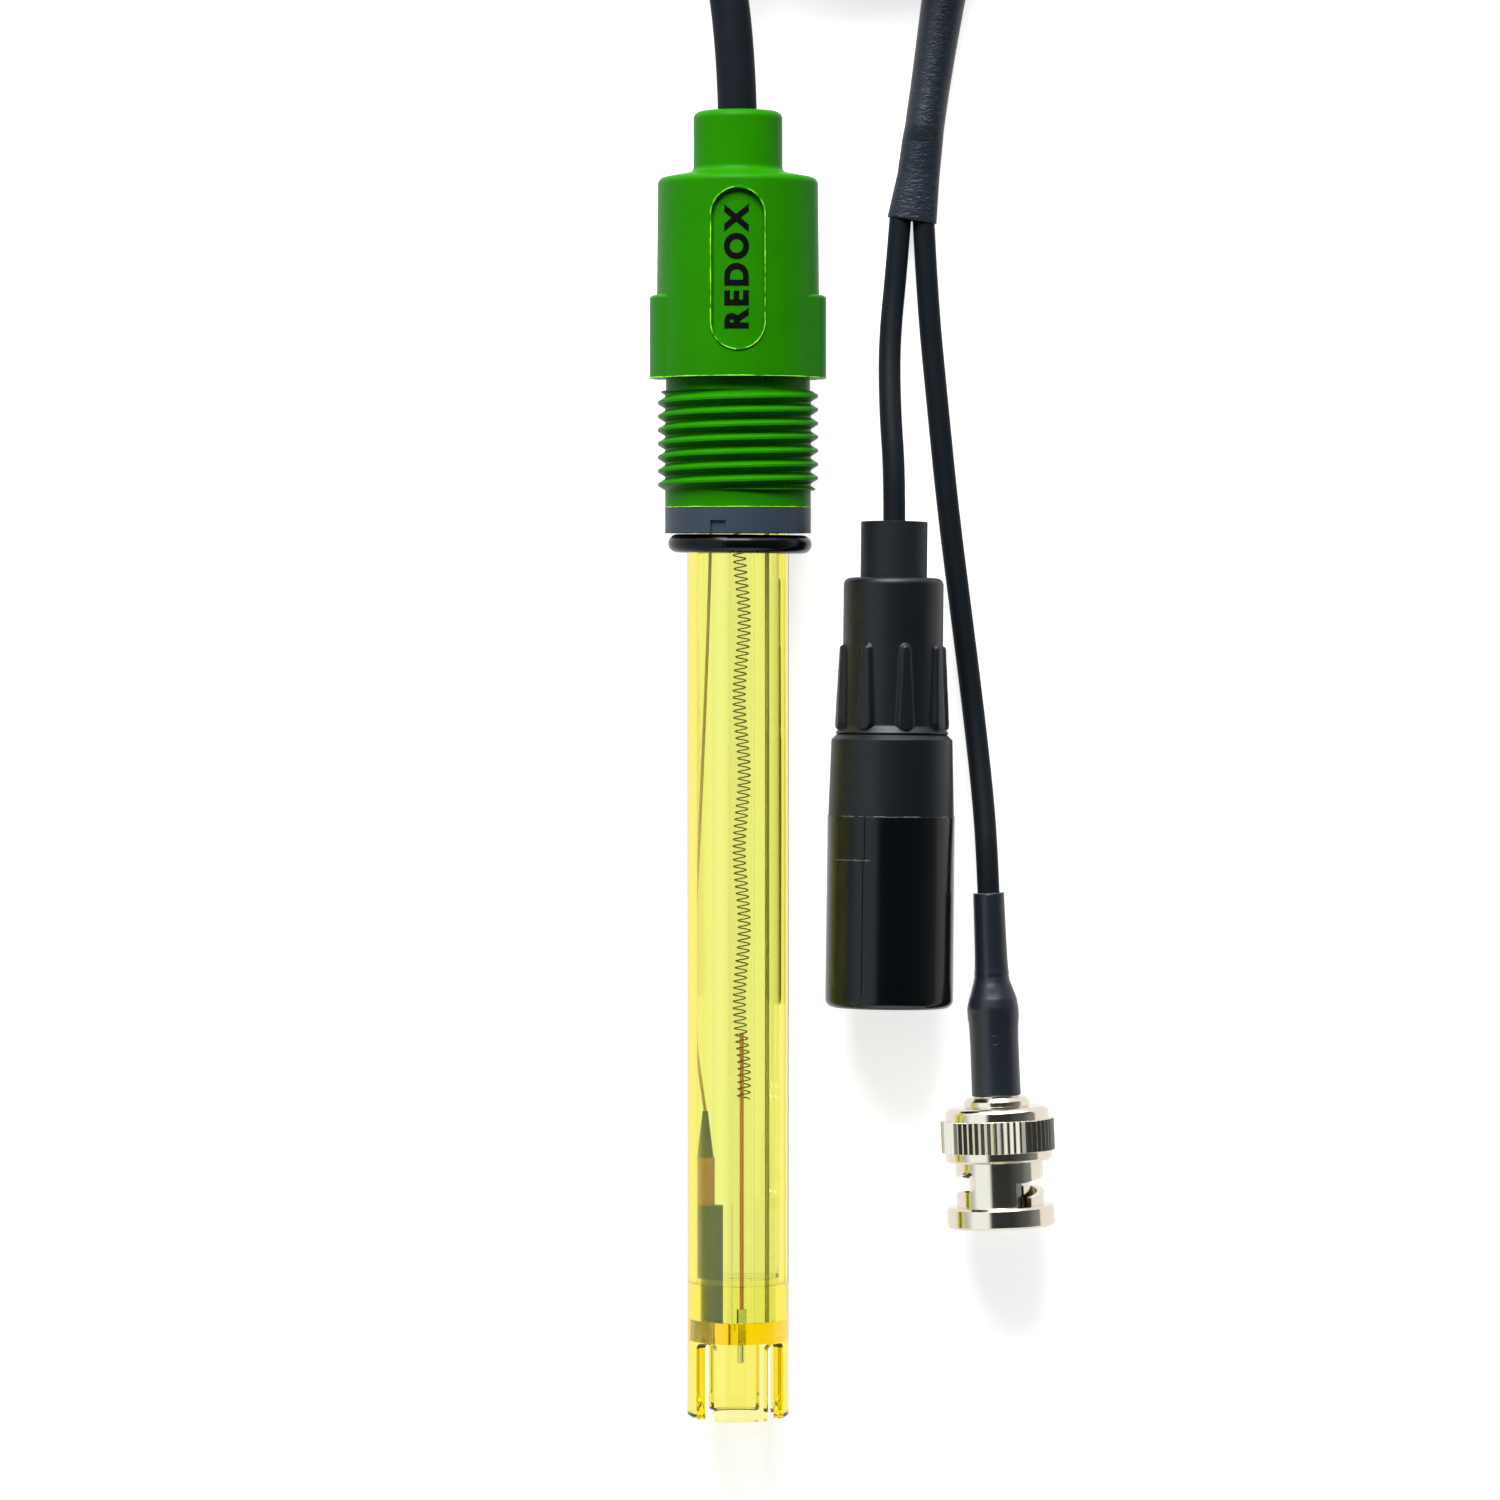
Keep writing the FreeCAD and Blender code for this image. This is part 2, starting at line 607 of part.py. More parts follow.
def gel_fill():
    """The gel that fills the tube and the tip's hollow round everything in them."""
    bung_foot = Z_TUBE_TOP - BUNG_HEIGHT
    gel = rod(TUBE_BORE_RADIUS, Z_JOINT + SPIGOT_LENGTH, bung_foot)
    gel = gel.fuse(rod(cavity_radius(), Z_FLOOR, Z_JOINT + SPIGOT_LENGTH))
    gel = gel.cut(rod(STEM_RADIUS, Z_FLOOR - 1, bung_foot + 1, STEM_PLACE))
    gel = gel.cut(rod(REFERENCE_WIRE_RADIUS, Z_FLOOR - 1, bung_foot + 1, REFERENCE_WIRE_PLACE))
    return gel.cut([reference_cell(), reference_plug(), reference_seal(), reference_lead()])


def cavity_radius():
    """The radius of the tip's hollow, inside its spigot."""
    return TUBE_BORE_RADIUS - SEAT_FIT - SPIGOT_WALL


def junction():
    """The porous plug through the tip's floor."""
    return rod(JUNCTION_RADIUS, Z_TIP - JUNCTION_REACH, Z_FLOOR, CELL_PLACE)


def tube_bung():
    """The bung in the tube's top, with a hole for each lead."""
    bung = rod(TUBE_BORE_RADIUS, Z_TUBE_TOP - BUNG_HEIGHT, Z_TUBE_TOP)
    holes = [
        (STEM_RADIUS, STEM_PLACE),
        (REFERENCE_WIRE_RADIUS, REFERENCE_WIRE_PLACE),
        (REFERENCE_LEAD_RADIUS, REFERENCE_LEAD_TOP),
    ]
    for radius, place in holes:
        bung = bung.cut(rod(radius + LEAD_FIT, Z_TUBE_TOP - BUNG_HEIGHT - 1, Z_TUBE_TOP + 1, place))
    return bung


def head_potting():
    """The resin that fills the head's chamber over the bung."""
    return rod(CHAMBER_RADIUS, Z_TUBE_TOP, Z_TUBE_TOP + CHAMBER_HEIGHT)


def connector_cap():
    """The push-on cap of the round connector."""
    bore = SHELL_RADIUS + CAP_FIT
    outline = [
        (0, 0),
        (CAP_END_RADIUS, 0),
        (CAP_MOUTH_RADIUS, CAP_LENGTH),
        (bore, CAP_LENGTH),
        (bore, CAP_FLOOR),
        (0, CAP_FLOOR),
    ]
    cap = revolve(outline)
    return cap.makeFillet(CAP_ROUND, rims(cap, CAP_END_RADIUS, 0))


def connector_shell():
    """The plated shell round the contacts, with its key inside."""
    shell = pipe(SHELL_RADIUS, SHELL_BORE_RADIUS, Z_MOUTH, CAP_LENGTH + SHELL_IN_BARREL)
    corner = FreeCAD.Vector(-KEY_WIDTH / 2, SHELL_BORE_RADIUS - KEY_HEIGHT, Z_MOUTH)
    key = Part.makeBox(KEY_WIDTH, KEY_HEIGHT + SHELL_WALL / 2, INSERT_RECESS, corner)
    return shell.fuse(key)


def contact_places():
    """Where each contact stands on its circle."""
    places = []
    for number in range(CONTACT_COUNT):
        angle = math.radians(CONTACT_SPREAD * number / (CONTACT_COUNT - 1))
        places.append((CONTACT_CIRCLE * math.cos(angle), CONTACT_CIRCLE * math.sin(angle)))
    return places


def connector_insert():
    """The insulator that carries the contacts."""
    insert = rod(SHELL_BORE_RADIUS, Z_INSERT, Z_INSERT + INSERT_HEIGHT)
    for place in contact_places():
        insert = insert.cut(rod(CONTACT_RADIUS, Z_INSERT - 1, Z_INSERT + INSERT_HEIGHT + 1, place))
    return insert


def connector_pins():
    """The five contacts, as separate pins."""
    pins = []
    foot = Z_MOUTH + CONTACT_RECESS
    top = Z_INSERT + INSERT_HEIGHT + CONTACT_TAIL
    for place in contact_places():
        pin = rod(CONTACT_RADIUS, foot, top, place)
        pins.append(pin.makeFillet(CONTACT_ROUND, rims(pin, CONTACT_RADIUS, foot)))
    return Part.makeCompound(pins)


def connector_barrel():
    """The connector's barrel, with the spigot that the gland nut grips."""
    spigot_top = Z_BARREL_REAR + BARREL_SPIGOT_LENGTH
    outline = [
        (SHELL_RADIUS, CAP_LENGTH),
        (BARREL_FRONT_RADIUS, CAP_LENGTH),
        (BARREL_REAR_RADIUS, Z_BARREL_REAR - BARREL_CHAMFER),
        (BARREL_REAR_RADIUS - BARREL_CHAMFER, Z_BARREL_REAR),
        (BARREL_SPIGOT_RADIUS, Z_BARREL_REAR),
        (BARREL_SPIGOT_RADIUS, spigot_top),
        (BARREL_SPIGOT_RADIUS - BARREL_SPIGOT_WALL, spigot_top),
        (BARREL_SPIGOT_RADIUS - BARREL_SPIGOT_WALL, CAP_LENGTH + SHELL_IN_BARREL),
        (SHELL_RADIUS, CAP_LENGTH + SHELL_IN_BARREL),
    ]
    return revolve(outline)


def grip_rib(degrees):
    """One tapered grip rib of the gland nut."""
    wires = []
    ends = [
        (Z_BARREL_REAR, RIB_FOOT_RADIUS, RIB_FOOT_WIDTH / 2),
        (Z_NUT_NECK, RIB_TOP_RADIUS, RIB_TOP_WIDTH / 2),
    ]
    for height, reach, half in ends:
        root = NUT_NECK_RADIUS - RIB_ROOT
        points = [
            FreeCAD.Vector(root, -half, height),
            FreeCAD.Vector(reach - RIB_CORNER, -half, height),
            FreeCAD.Vector(reach, -half + RIB_CORNER, height),
            FreeCAD.Vector(reach, half - RIB_CORNER, height),
            FreeCAD.Vector(reach - RIB_CORNER, half, height),
            FreeCAD.Vector(root, half, height),
        ]
        wires.append(Part.makePolygon(points + points[:1]))
    return turned(Part.makeLoft(wires, True, True), degrees)


def gland_nut():
    """The gland nut: a ribbed skirt and a round neck that grips the boot."""
    lip = Z_NUT_TOP - NUT_LIP
    outline = [
        (BARREL_SPIGOT_RADIUS, Z_BARREL_REAR),
        (NUT_FOOT_RADIUS, Z_BARREL_REAR),
        (NUT_NECK_RADIUS, Z_NUT_NECK),
        (NUT_NECK_RADIUS, Z_NUT_TOP),
        (BOOT_RADIUS, Z_NUT_TOP),
        (BOOT_RADIUS, lip),
        (BARREL_SPIGOT_RADIUS, lip),
    ]
    nut = revolve(outline)
    nut = nut.makeFillet(NUT_ROUND, rims(nut, NUT_NECK_RADIUS, Z_NUT_TOP))
    spacing = 360 / RIB_COUNT
    ribs = [grip_rib(RIB_TURN - 90 + number * spacing) for number in range(RIB_COUNT)]
    return nut.fuse(ribs)


def cable_boot():
    """The rubber boot that the gland nut grips, flanged inside the nut."""
    lip = Z_NUT_TOP - NUT_LIP
    outline = [
        (0, lip - BOOT_FLANGE_HEIGHT),
        (BOOT_FLANGE_RADIUS, lip - BOOT_FLANGE_HEIGHT),
        (BOOT_FLANGE_RADIUS, lip),
        (BOOT_RADIUS, lip),
        (BOOT_RADIUS, Z_BOOT_TOP),
        (BRANCH_RADIUS + CORD_FIT, Z_BOOT_TOP),
        (BRANCH_RADIUS + CORD_FIT, Z_BOOT_TOP - BRANCH_SOCKET_DEPTH),
        (0, Z_BOOT_TOP - BRANCH_SOCKET_DEPTH),
    ]
    return revolve(outline)


def knurl_ring():
    """The straight knurl of the bayonet coupling."""
    points = []
    for number in range(2 * KNURL_TEETH):
        radius = KNURL_RADIUS if number % 2 else KNURL_RADIUS - KNURL_DEPTH
        angle = math.pi * number / KNURL_TEETH
        points.append(FreeCAD.Vector(radius * math.cos(angle), radius * math.sin(angle), Z_KNURL))
    ring = Part.Face(Part.makePolygon(points + points[:1]))
    return ring.extrude(FreeCAD.Vector(0, 0, KNURL_HEIGHT))


def bayonet_slot(degrees):
    """One slot through the sleeve: straight in past the flange, then a helix to a round detent."""
    rise = SLOT_DETENT_HEIGHT - SLOT_FOOT_HEIGHT
    pitch = rise * 360 / SLOT_SWEEP
    inner = COUPLING_BORE_RADIUS - 0.5
    outer = SLEEVE_RADIUS + 0.5
    half = SLOT_WIDTH / 2
    profile = [(inner, -half), (outer, -half), (outer, half), (inner, half)]
    track = swept_ridge(pitch, rise, (inner + outer) / 2, profile)
    track.translate(FreeCAD.Vector(0, 0, SLOT_FOOT_HEIGHT))
    detent = Part.makeCylinder(
        SLOT_DETENT_RADIUS, outer - inner, FreeCAD.Vector(inner, 0, 0), FreeCAD.Vector(1, 0, 0)
    )
    detent.rotate(CENTRE, UP, SLOT_SWEEP)
    detent.translate(FreeCAD.Vector(0, 0, SLOT_DETENT_HEIGHT))
    way_in = Part.makeBox(
        outer - inner, SLOT_WIDTH, SLOT_FOOT_HEIGHT + half + 1, FreeCAD.Vector(inner, -half, -1)
    )
    flange = pipe(FLANGE_RADIUS + 1, COUPLING_BORE_RADIUS + SLOT_GROOVE_DEPTH, -2, Z_SLEEVE)
    return turned(track.fuse([detent, way_in]).cut(flange), degrees - SLOT_SWEEP)


def coax_coupling():
    """The bayonet coupling: mouth flange, slotted sleeve, knurl and rear shoulder."""
    outline = [
        (COUPLING_BORE_RADIUS, 0),
        (FLANGE_RADIUS - COUPLING_EDGE, 0),
        (FLANGE_RADIUS, COUPLING_EDGE),
        (FLANGE_RADIUS, Z_SLEEVE - COUPLING_EDGE),
        (FLANGE_RADIUS - COUPLING_EDGE, Z_SLEEVE),
        (SLEEVE_RADIUS, Z_SLEEVE),
        (SLEEVE_RADIUS, Z_BAND),
        (BAND_RADIUS - COUPLING_EDGE, Z_BAND),
        (BAND_RADIUS, Z_BAND + COUPLING_EDGE),
        (BAND_RADIUS, Z_KNURL),
        (REAR_RADIUS, Z_KNURL),
        (REAR_RADIUS, Z_COUPLING_TOP),
        (BODY_NECK_RADIUS + COUPLING_RUN, Z_COUPLING_TOP),
        (BODY_NECK_RADIUS + COUPLING_RUN, Z_COUPLING_FLOOR),
        (COUPLING_BORE_RADIUS, Z_COUPLING_FLOOR),
    ]
    coupling = revolve(outline)
    coupling = coupling.makeFillet(REAR_ROUND, rims(coupling, REAR_RADIUS, Z_COUPLING_TOP))
    core = rod(REAR_RADIUS - REAR_ROUND, Z_KNURL - 1, Z_REAR + 1)
    coupling = coupling.fuse(knurl_ring().cut(core))
    for half_turn in (0, 180):
        coupling = coupling.cut(bayonet_slot(SLOT_DETENT_ANGLE - 90 + half_turn))
    return coupling


def coax_body():
    """The plug's body: rear collar, neck, retaining flange and slit contact fingers."""
    outline = [
        (FINGER_BORE_RADIUS, FINGER_RECESS),
        (FINGER_RADIUS, FINGER_RECESS),
        (FINGER_RADIUS, Z_FLANGE_FRONT),
        (BODY_FLANGE_RADIUS, Z_FLANGE_FRONT),
        (BODY_FLANGE_RADIUS, Z_FLANGE_REAR),
        (BODY_NECK_RADIUS, Z_FLANGE_REAR),
        (BODY_NECK_RADIUS, Z_COLLAR),
        (BODY_COLLAR_RADIUS, Z_COLLAR),
        (BODY_COLLAR_RADIUS, Z_PLUG_REAR - BODY_COLLAR_CHAMFER),
        (BODY_COLLAR_RADIUS - BODY_COLLAR_CHAMFER, Z_PLUG_REAR),
        (CENTRE_PIN_RADIUS, Z_PLUG_REAR),
        (CENTRE_PIN_RADIUS, Z_COUPLING_TOP),
        (FINGER_BORE_RADIUS, Z_COUPLING_TOP),
    ]
    body = revolve(outline)
    for number in range(FINGER_COUNT // 2):
        corner = FreeCAD.Vector(-FINGER_RADIUS - 1, -FINGER_SLIT / 2, 0)
        slit = Part.makeBox(2 * FINGER_RADIUS + 2, FINGER_SLIT, INSULATOR_RECESS, corner)
        body = body.cut(turned(slit, 45 + number * 360 / FINGER_COUNT))
    return body


def coax_insulator():
    """The white insulator in the body."""
    return pipe(FINGER_BORE_RADIUS, CENTRE_PIN_RADIUS, INSULATOR_RECESS, Z_COUPLING_TOP)


def coax_pin():
    """The centre contact."""
    pin = rod(CENTRE_PIN_RADIUS, CENTRE_PIN_RECESS, Z_PLUG_REAR)
    return pin.makeFillet(CENTRE_PIN_ROUND, rims(pin, CENTRE_PIN_RADIUS, CENTRE_PIN_RECESS))


def coax_gasket():
    """The sealing ring at the root of the contact fingers."""
    return pipe(GASKET_RADIUS, FINGER_RADIUS, Z_FLANGE_FRONT - GASKET_HEIGHT, Z_FLANGE_FRONT)


def coax_washer():
    """The spring washer between the body's flange and the coupling."""
    return pipe(BODY_FLANGE_RADIUS, BODY_NECK_RADIUS, Z_FLANGE_REAR, Z_FLANGE_REAR + WASHER_HEIGHT)


def coax_ferrule():
    """The crimp ferrule under the boot."""
    return pipe(
        FERRULE_RADIUS, FERRULE_RADIUS - FERRULE_WALL, Z_PLUG_REAR, Z_PLUG_REAR + FERRULE_LENGTH
    )


def coax_boot():
    """The heat-shrink boot: over the ferrule, a soft bulge past its end, then down to the cable."""
    foot = Z_PLUG_REAR + COAX_BOOT_GAP
    bulge = Z_PLUG_REAR + COAX_BOOT_BULGE
    step = Z_PLUG_REAR + COAX_BOOT_STEP
    top = coax_boot_top()
    outline = [
        (FERRULE_RADIUS, foot),
        (COAX_BOOT_RADIUS, foot),
        (COAX_BOOT_RADIUS, bulge - COAX_BOOT_BULGE_RUN),
        (COAX_BOOT_BULGE_RADIUS, bulge),
        (COAX_BOOT_BULGE_RADIUS - COAX_BOOT_SOFTENING, bulge + COAX_BOOT_BULGE_RUN),
        (COAX_BOOT_TOP_RADIUS + COAX_BOOT_SOFTENING, step - COAX_BOOT_STEP_RUN),
        (COAX_BOOT_TOP_RADIUS, step),
        (COAX_BOOT_TOP_RADIUS, top),
        (BRANCH_RADIUS + CORD_FIT, top),
        (BRANCH_RADIUS + CORD_FIT, top - BRANCH_SOCKET_DEPTH),
        (0, top - BRANCH_SOCKET_DEPTH),
        (0, Z_PLUG_REAR + FERRULE_LENGTH),
        (FERRULE_RADIUS, Z_PLUG_REAR + FERRULE_LENGTH),
    ]
    return revolve(outline)


def coax_boot_top():
    """The height of the boot's top above the plug's mouth, from the places of its two ends."""
    return math.dist(PLUG_MOUTH, PLUG_BOOT_TOP)


def unit(start, end):
    """The unit direction from one point to another."""
    return (end - start).normalize()


def tube(points, radius):
    """A round bar along straight runs that are joined by tangent arcs."""
    route = [FreeCAD.Vector(*point) for point in points]
    edges = []
    start = route[0]
    bends = []
    for before, corner, after in zip(route, route[1:], route[2:]):
        back = unit(corner, before)
        ahead = unit(corner, after)
        trim = 0.45 * min(before.distanceToPoint(corner), after.distanceToPoint(corner))
        half_turn = (math.pi - back.getAngle(ahead)) / 2
        bend = trim / math.tan(half_turn)
        bends.append(bend)
        middle_way = (back + ahead).normalize()
        middle = corner + middle_way * (bend / math.cos(half_turn) - bend)
        first = corner + back * trim
        last = corner + ahead * trim
        edges.append(Part.LineSegment(start, first).toShape())
        edges.append(Part.Arc(first, middle, last).toShape())
        start = last
    edges.append(Part.LineSegment(start, route[-1]).toShape())
    path = Part.Wire(edges)
    circle = Part.Circle(route[0], unit(route[0], route[1]), radius).toShape()
    solid = path.makePipeShell([Part.Wire(circle)], True, False)
    share = solid.Volume / (math.pi * radius * radius * path.Length)
    print(f"route {path.Length:.1f} mm, least bend {min(bends):.1f} mm, volume share {share:.4f}")
    return solid


def cable_coil():
    """The outside of the coiled lead, one ring on the floor."""
    half = COIL_COLUMNS * CABLE_RADIUS
    inner = COIL_MIDDLE_RADIUS - half
    outer = COIL_MIDDLE_RADIUS + half
    high = 2 * CABLE_RADIUS * COIL_LAYERS
    ring = pipe(outer, inner, 0, high)
    corners = []
    for radius in (inner, outer):
        corners += rims(ring, radius, 0) + rims(ring, radius, high)
    ring = ring.makeFillet(COIL_CORNER, corners)
    ring.translate(FreeCAD.Vector(COIL_CENTRE[0], COIL_CENTRE[1], 0))
    return ring


def split_sleeve(leads):
    """The heat-shrink sleeve over the split, as sections along its line, cut free of its leads."""
    wires = []
    for number, (place, half_width, half_height) in enumerate(SLEEVE_SECTIONS):
        behind = FreeCAD.Vector(*SLEEVE_SECTIONS[max(number - 1, 0)][0])
        ahead = FreeCAD.Vector(*SLEEVE_SECTIONS[min(number + 1, len(SLEEVE_SECTIONS) - 1)][0])
        along = unit(behind, ahead)
        across = along.cross(UP).normalize()
        rise = across.cross(along)
        oval = Part.Ellipse(CENTRE, half_width, half_height).toShape()
        oval.Placement = FreeCAD.Placement(
            FreeCAD.Vector(*place), FreeCAD.Rotation(across, rise, along * -1, "ZXY")
        )
        wires.append(Part.Wire(oval))
    return Part.makeLoft(wires, True, True).cut(leads)


def electrode_place():
    """The placement that lays the upright electrode on the floor."""
    turn = FreeCAD.Rotation(FreeCAD.Vector(1, 0, 0), math.degrees(AXIS_TILT) - 90)
    return FreeCAD.Placement(FreeCAD.Vector(0, TIP_Y, TIP_HEIGHT), turn)


def plug_place(end, top, height):
    """The placement that lays an upright plug on its side, its end and top where the lead holds it."""
    lean = math.degrees(math.atan2(end[0] - top[0], top[1] - end[1]))
    lay = FreeCAD.Rotation(FreeCAD.Vector(1, 0, 0), -90)
    turn = FreeCAD.Rotation(UP, lean)
    return FreeCAD.Placement(FreeCAD.Vector(end[0], end[1], height), turn.multiply(lay))


def laid(shape, place):
    """A copy of an upright piece in its laid place."""
    moved = shape.copy()
    moved.transformShape(place.toMatrix(), True)
    return moved


def on_axis(place, height):
    """The laid point on a sub-assembly's axis at a height."""
    return tuple(place.multVec(FreeCAD.Vector(0, 0, height)))


ELECTRODE_PIECES = [
    threaded_head,
    seat_ring,
    o_ring,
    shaft_tube,
    tip_guard,
    inner_stem,
    sensor_pin,
    coiled_lead,
    sensor_lead,
    reference_wire,
    reference_cell,
    reference_plug,
    reference_seal,
    reference_lead,
    gel_fill,
    junction,
    tube_bung,
    head_potting,
]
CONNECTOR_PIECES = [
    connector_cap,
    connector_shell,
    connector_insert,
    connector_pins,
    connector_barrel,
    gland_nut,
    cable_boot,
]
COAX_PIECES = [
    coax_coupling,
    coax_body,
    coax_insulator,
    coax_pin,
    coax_gasket,
    coax_washer,
    coax_ferrule,
    coax_boot,
]


def save(name, shape):
    """Write one piece under its own name."""
    shape.exportStep(f"parts/{name}.step")
    print(f"{name}: {len(shape.Solids)} solid, {shape.Volume:.1f} mm3, valid {shape.isValid()}")


def main():
    """Build, lay and write every piece."""
    os.makedirs("parts", exist_ok=True)
    electrode = electrode_place()
    connector = plug_place(CONNECTOR_END, CONNECTOR_BOOT_TOP, CAP_END_RADIUS)
    coax = plug_place(PLUG_MOUTH, PLUG_BOOT_TOP, KNURL_RADIUS)
    groups = [
        (electrode, ELECTRODE_PIECES),
        (connector, CONNECTOR_PIECES),
        (coax, COAX_PIECES),
    ]
    for place, pieces in groups:
        for piece in pieces:
            save(piece.__name__, laid(piece(), place))
    start = [on_axis(electrode, Z_CABLE), on_axis(electrode, Z_TOP + MAIN_START_RUN)]
    save("main_cable_start", tube(start + MAIN_START_ROUTE, CABLE_RADIUS))
    save("cable_coil", cable_coil())
    save("main_cable_end", tube(MAIN_END_ROUTE, CABLE_RADIUS))
    end_a = on_axis(connector, Z_BOOT_TOP - BRANCH_SOCKET_DEPTH + CORD_FIT)
    save("branch_cable_a", tube(BRANCH_A_ROUTE + [end_a], BRANCH_RADIUS))
    end_b = on_axis(coax, coax_boot_top() - BRANCH_SOCKET_DEPTH + CORD_FIT)
    save("branch_cable_b", tube(BRANCH_B_ROUTE + [end_b], BRANCH_RADIUS))
    leads = [
        tube(MAIN_END_ROUTE, CABLE_RADIUS + CORD_FIT),
        tube(BRANCH_A_ROUTE[:3], BRANCH_RADIUS + CORD_FIT),
        tube(BRANCH_B_ROUTE[:3], BRANCH_RADIUS + CORD_FIT),
    ]
    save("split_sleeve", split_sleeve(leads))


if __name__ == "__main__":
    main()
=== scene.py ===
"""The looks of a redox electrode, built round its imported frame.

Metres throughout. The electrode lies on the surface at Z = 0 with its label up, its axis along +Y towards
the nose. Its lead runs to a round capped connector and a coax bayonet plug.
"""

import json
import logging
import math
from dataclasses import dataclass, field
from enum import Enum
from typing import Any, Callable, Sequence

import bmesh
import bpy
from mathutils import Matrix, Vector, noise

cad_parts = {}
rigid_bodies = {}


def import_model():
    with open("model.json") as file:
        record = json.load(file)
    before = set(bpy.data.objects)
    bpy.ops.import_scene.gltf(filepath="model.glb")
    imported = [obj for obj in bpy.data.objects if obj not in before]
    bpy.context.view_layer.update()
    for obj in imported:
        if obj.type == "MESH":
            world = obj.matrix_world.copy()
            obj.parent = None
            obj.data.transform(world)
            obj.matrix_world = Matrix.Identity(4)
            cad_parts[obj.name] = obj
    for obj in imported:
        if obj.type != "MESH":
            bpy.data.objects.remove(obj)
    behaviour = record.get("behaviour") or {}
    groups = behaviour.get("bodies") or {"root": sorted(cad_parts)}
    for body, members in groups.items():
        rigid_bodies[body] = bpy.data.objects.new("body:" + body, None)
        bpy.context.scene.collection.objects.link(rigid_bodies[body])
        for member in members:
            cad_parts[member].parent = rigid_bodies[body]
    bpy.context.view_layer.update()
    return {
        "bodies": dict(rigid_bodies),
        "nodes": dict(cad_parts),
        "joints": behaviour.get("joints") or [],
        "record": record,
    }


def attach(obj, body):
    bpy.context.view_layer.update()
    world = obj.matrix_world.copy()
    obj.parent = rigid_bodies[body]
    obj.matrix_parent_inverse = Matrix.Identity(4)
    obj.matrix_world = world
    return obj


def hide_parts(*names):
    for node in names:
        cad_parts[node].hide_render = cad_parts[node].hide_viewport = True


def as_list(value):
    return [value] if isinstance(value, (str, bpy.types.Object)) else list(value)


LOG = logging.getLogger("redox_electrode")
# One millimetre, in metres.
MM = 0.001
# Points of a mesh that lie closer than this, in metres, become one.
MERGE_DISTANCE = 1e-7
Point = tuple[float, float, float]
Stops = tuple[tuple[float, float], ...]


class Body(Enum):
    """The bodies that the pieces made here ride on."""

    ELECTRODE = "electrode"
    CAP = "cap"


class Grain(Enum):
    """How a surface was made, which decides its fine relief."""

    POLISHED = "polished"
    SPARK_ERODED = "spark eroded"
    EXTRUDED = "extruded"
    SHRUNK = "shrunk"
    TURNED = "turned"


# The noise that draws each grain: pits, soft unevenness, wrinkles and turning marks.
GRAIN_NOISE: dict[Grain, dict[str, float]] = {
    Grain.SPARK_ERODED: {"Detail": 5.0, "Roughness": 0.7},
    Grain.EXTRUDED: {"Detail": 3.0},
    Grain.SHRUNK: {"Detail": 4.0, "Distortion": 1.4},
    Grain.TURNED: {"Detail": 2.0},
}
# Wrinkles and turning marks run round a piece, so their noise is drawn out across its length.
GRAIN_STRETCH: dict[Grain, Point] = {Grain.SHRUNK: (0.4, 1.0, 0.4), Grain.TURNED: (0.05, 1.0, 0.05)}


def srgb(colour: str) -> tuple[float, float, float, float]:
    """Turn an sRGB hex colour to linear.

    Args:
        colour: Six hex digits.

    Returns:
        Red, green, blue and an alpha of 1.
    """
    parts = [int(colour[start : start + 2], 16) / 255 for start in (0, 2, 4)]
    linear = [part / 12.92 if part <= 0.04045 else ((part + 0.055) / 1.055) ** 2.4 for part in parts]
    return (linear[0], linear[1], linear[2], 1.0)


def add(tree: bpy.types.NodeTree, kind: str, settings: dict[Any, Any], links: dict[Any, Any]) -> Any:
    """Add one shader node.

    Args:
        tree: The tree that gets the node.
        kind: The node's type.
        settings: Values for its attributes, or for its sockets by name or number.
        links: Sockets to read, by the name or number of the socket they feed.

    Returns:
        The node.
    """
    node = tree.nodes.new(kind)
    for key, value in settings.items():
        if isinstance(key, int) or key in node.inputs:
            node.inputs[key].default_value = value
        else:
            setattr(node, key, value)
    for key, socket in links.items():
        tree.links.new(socket, node.inputs[key])
    return node


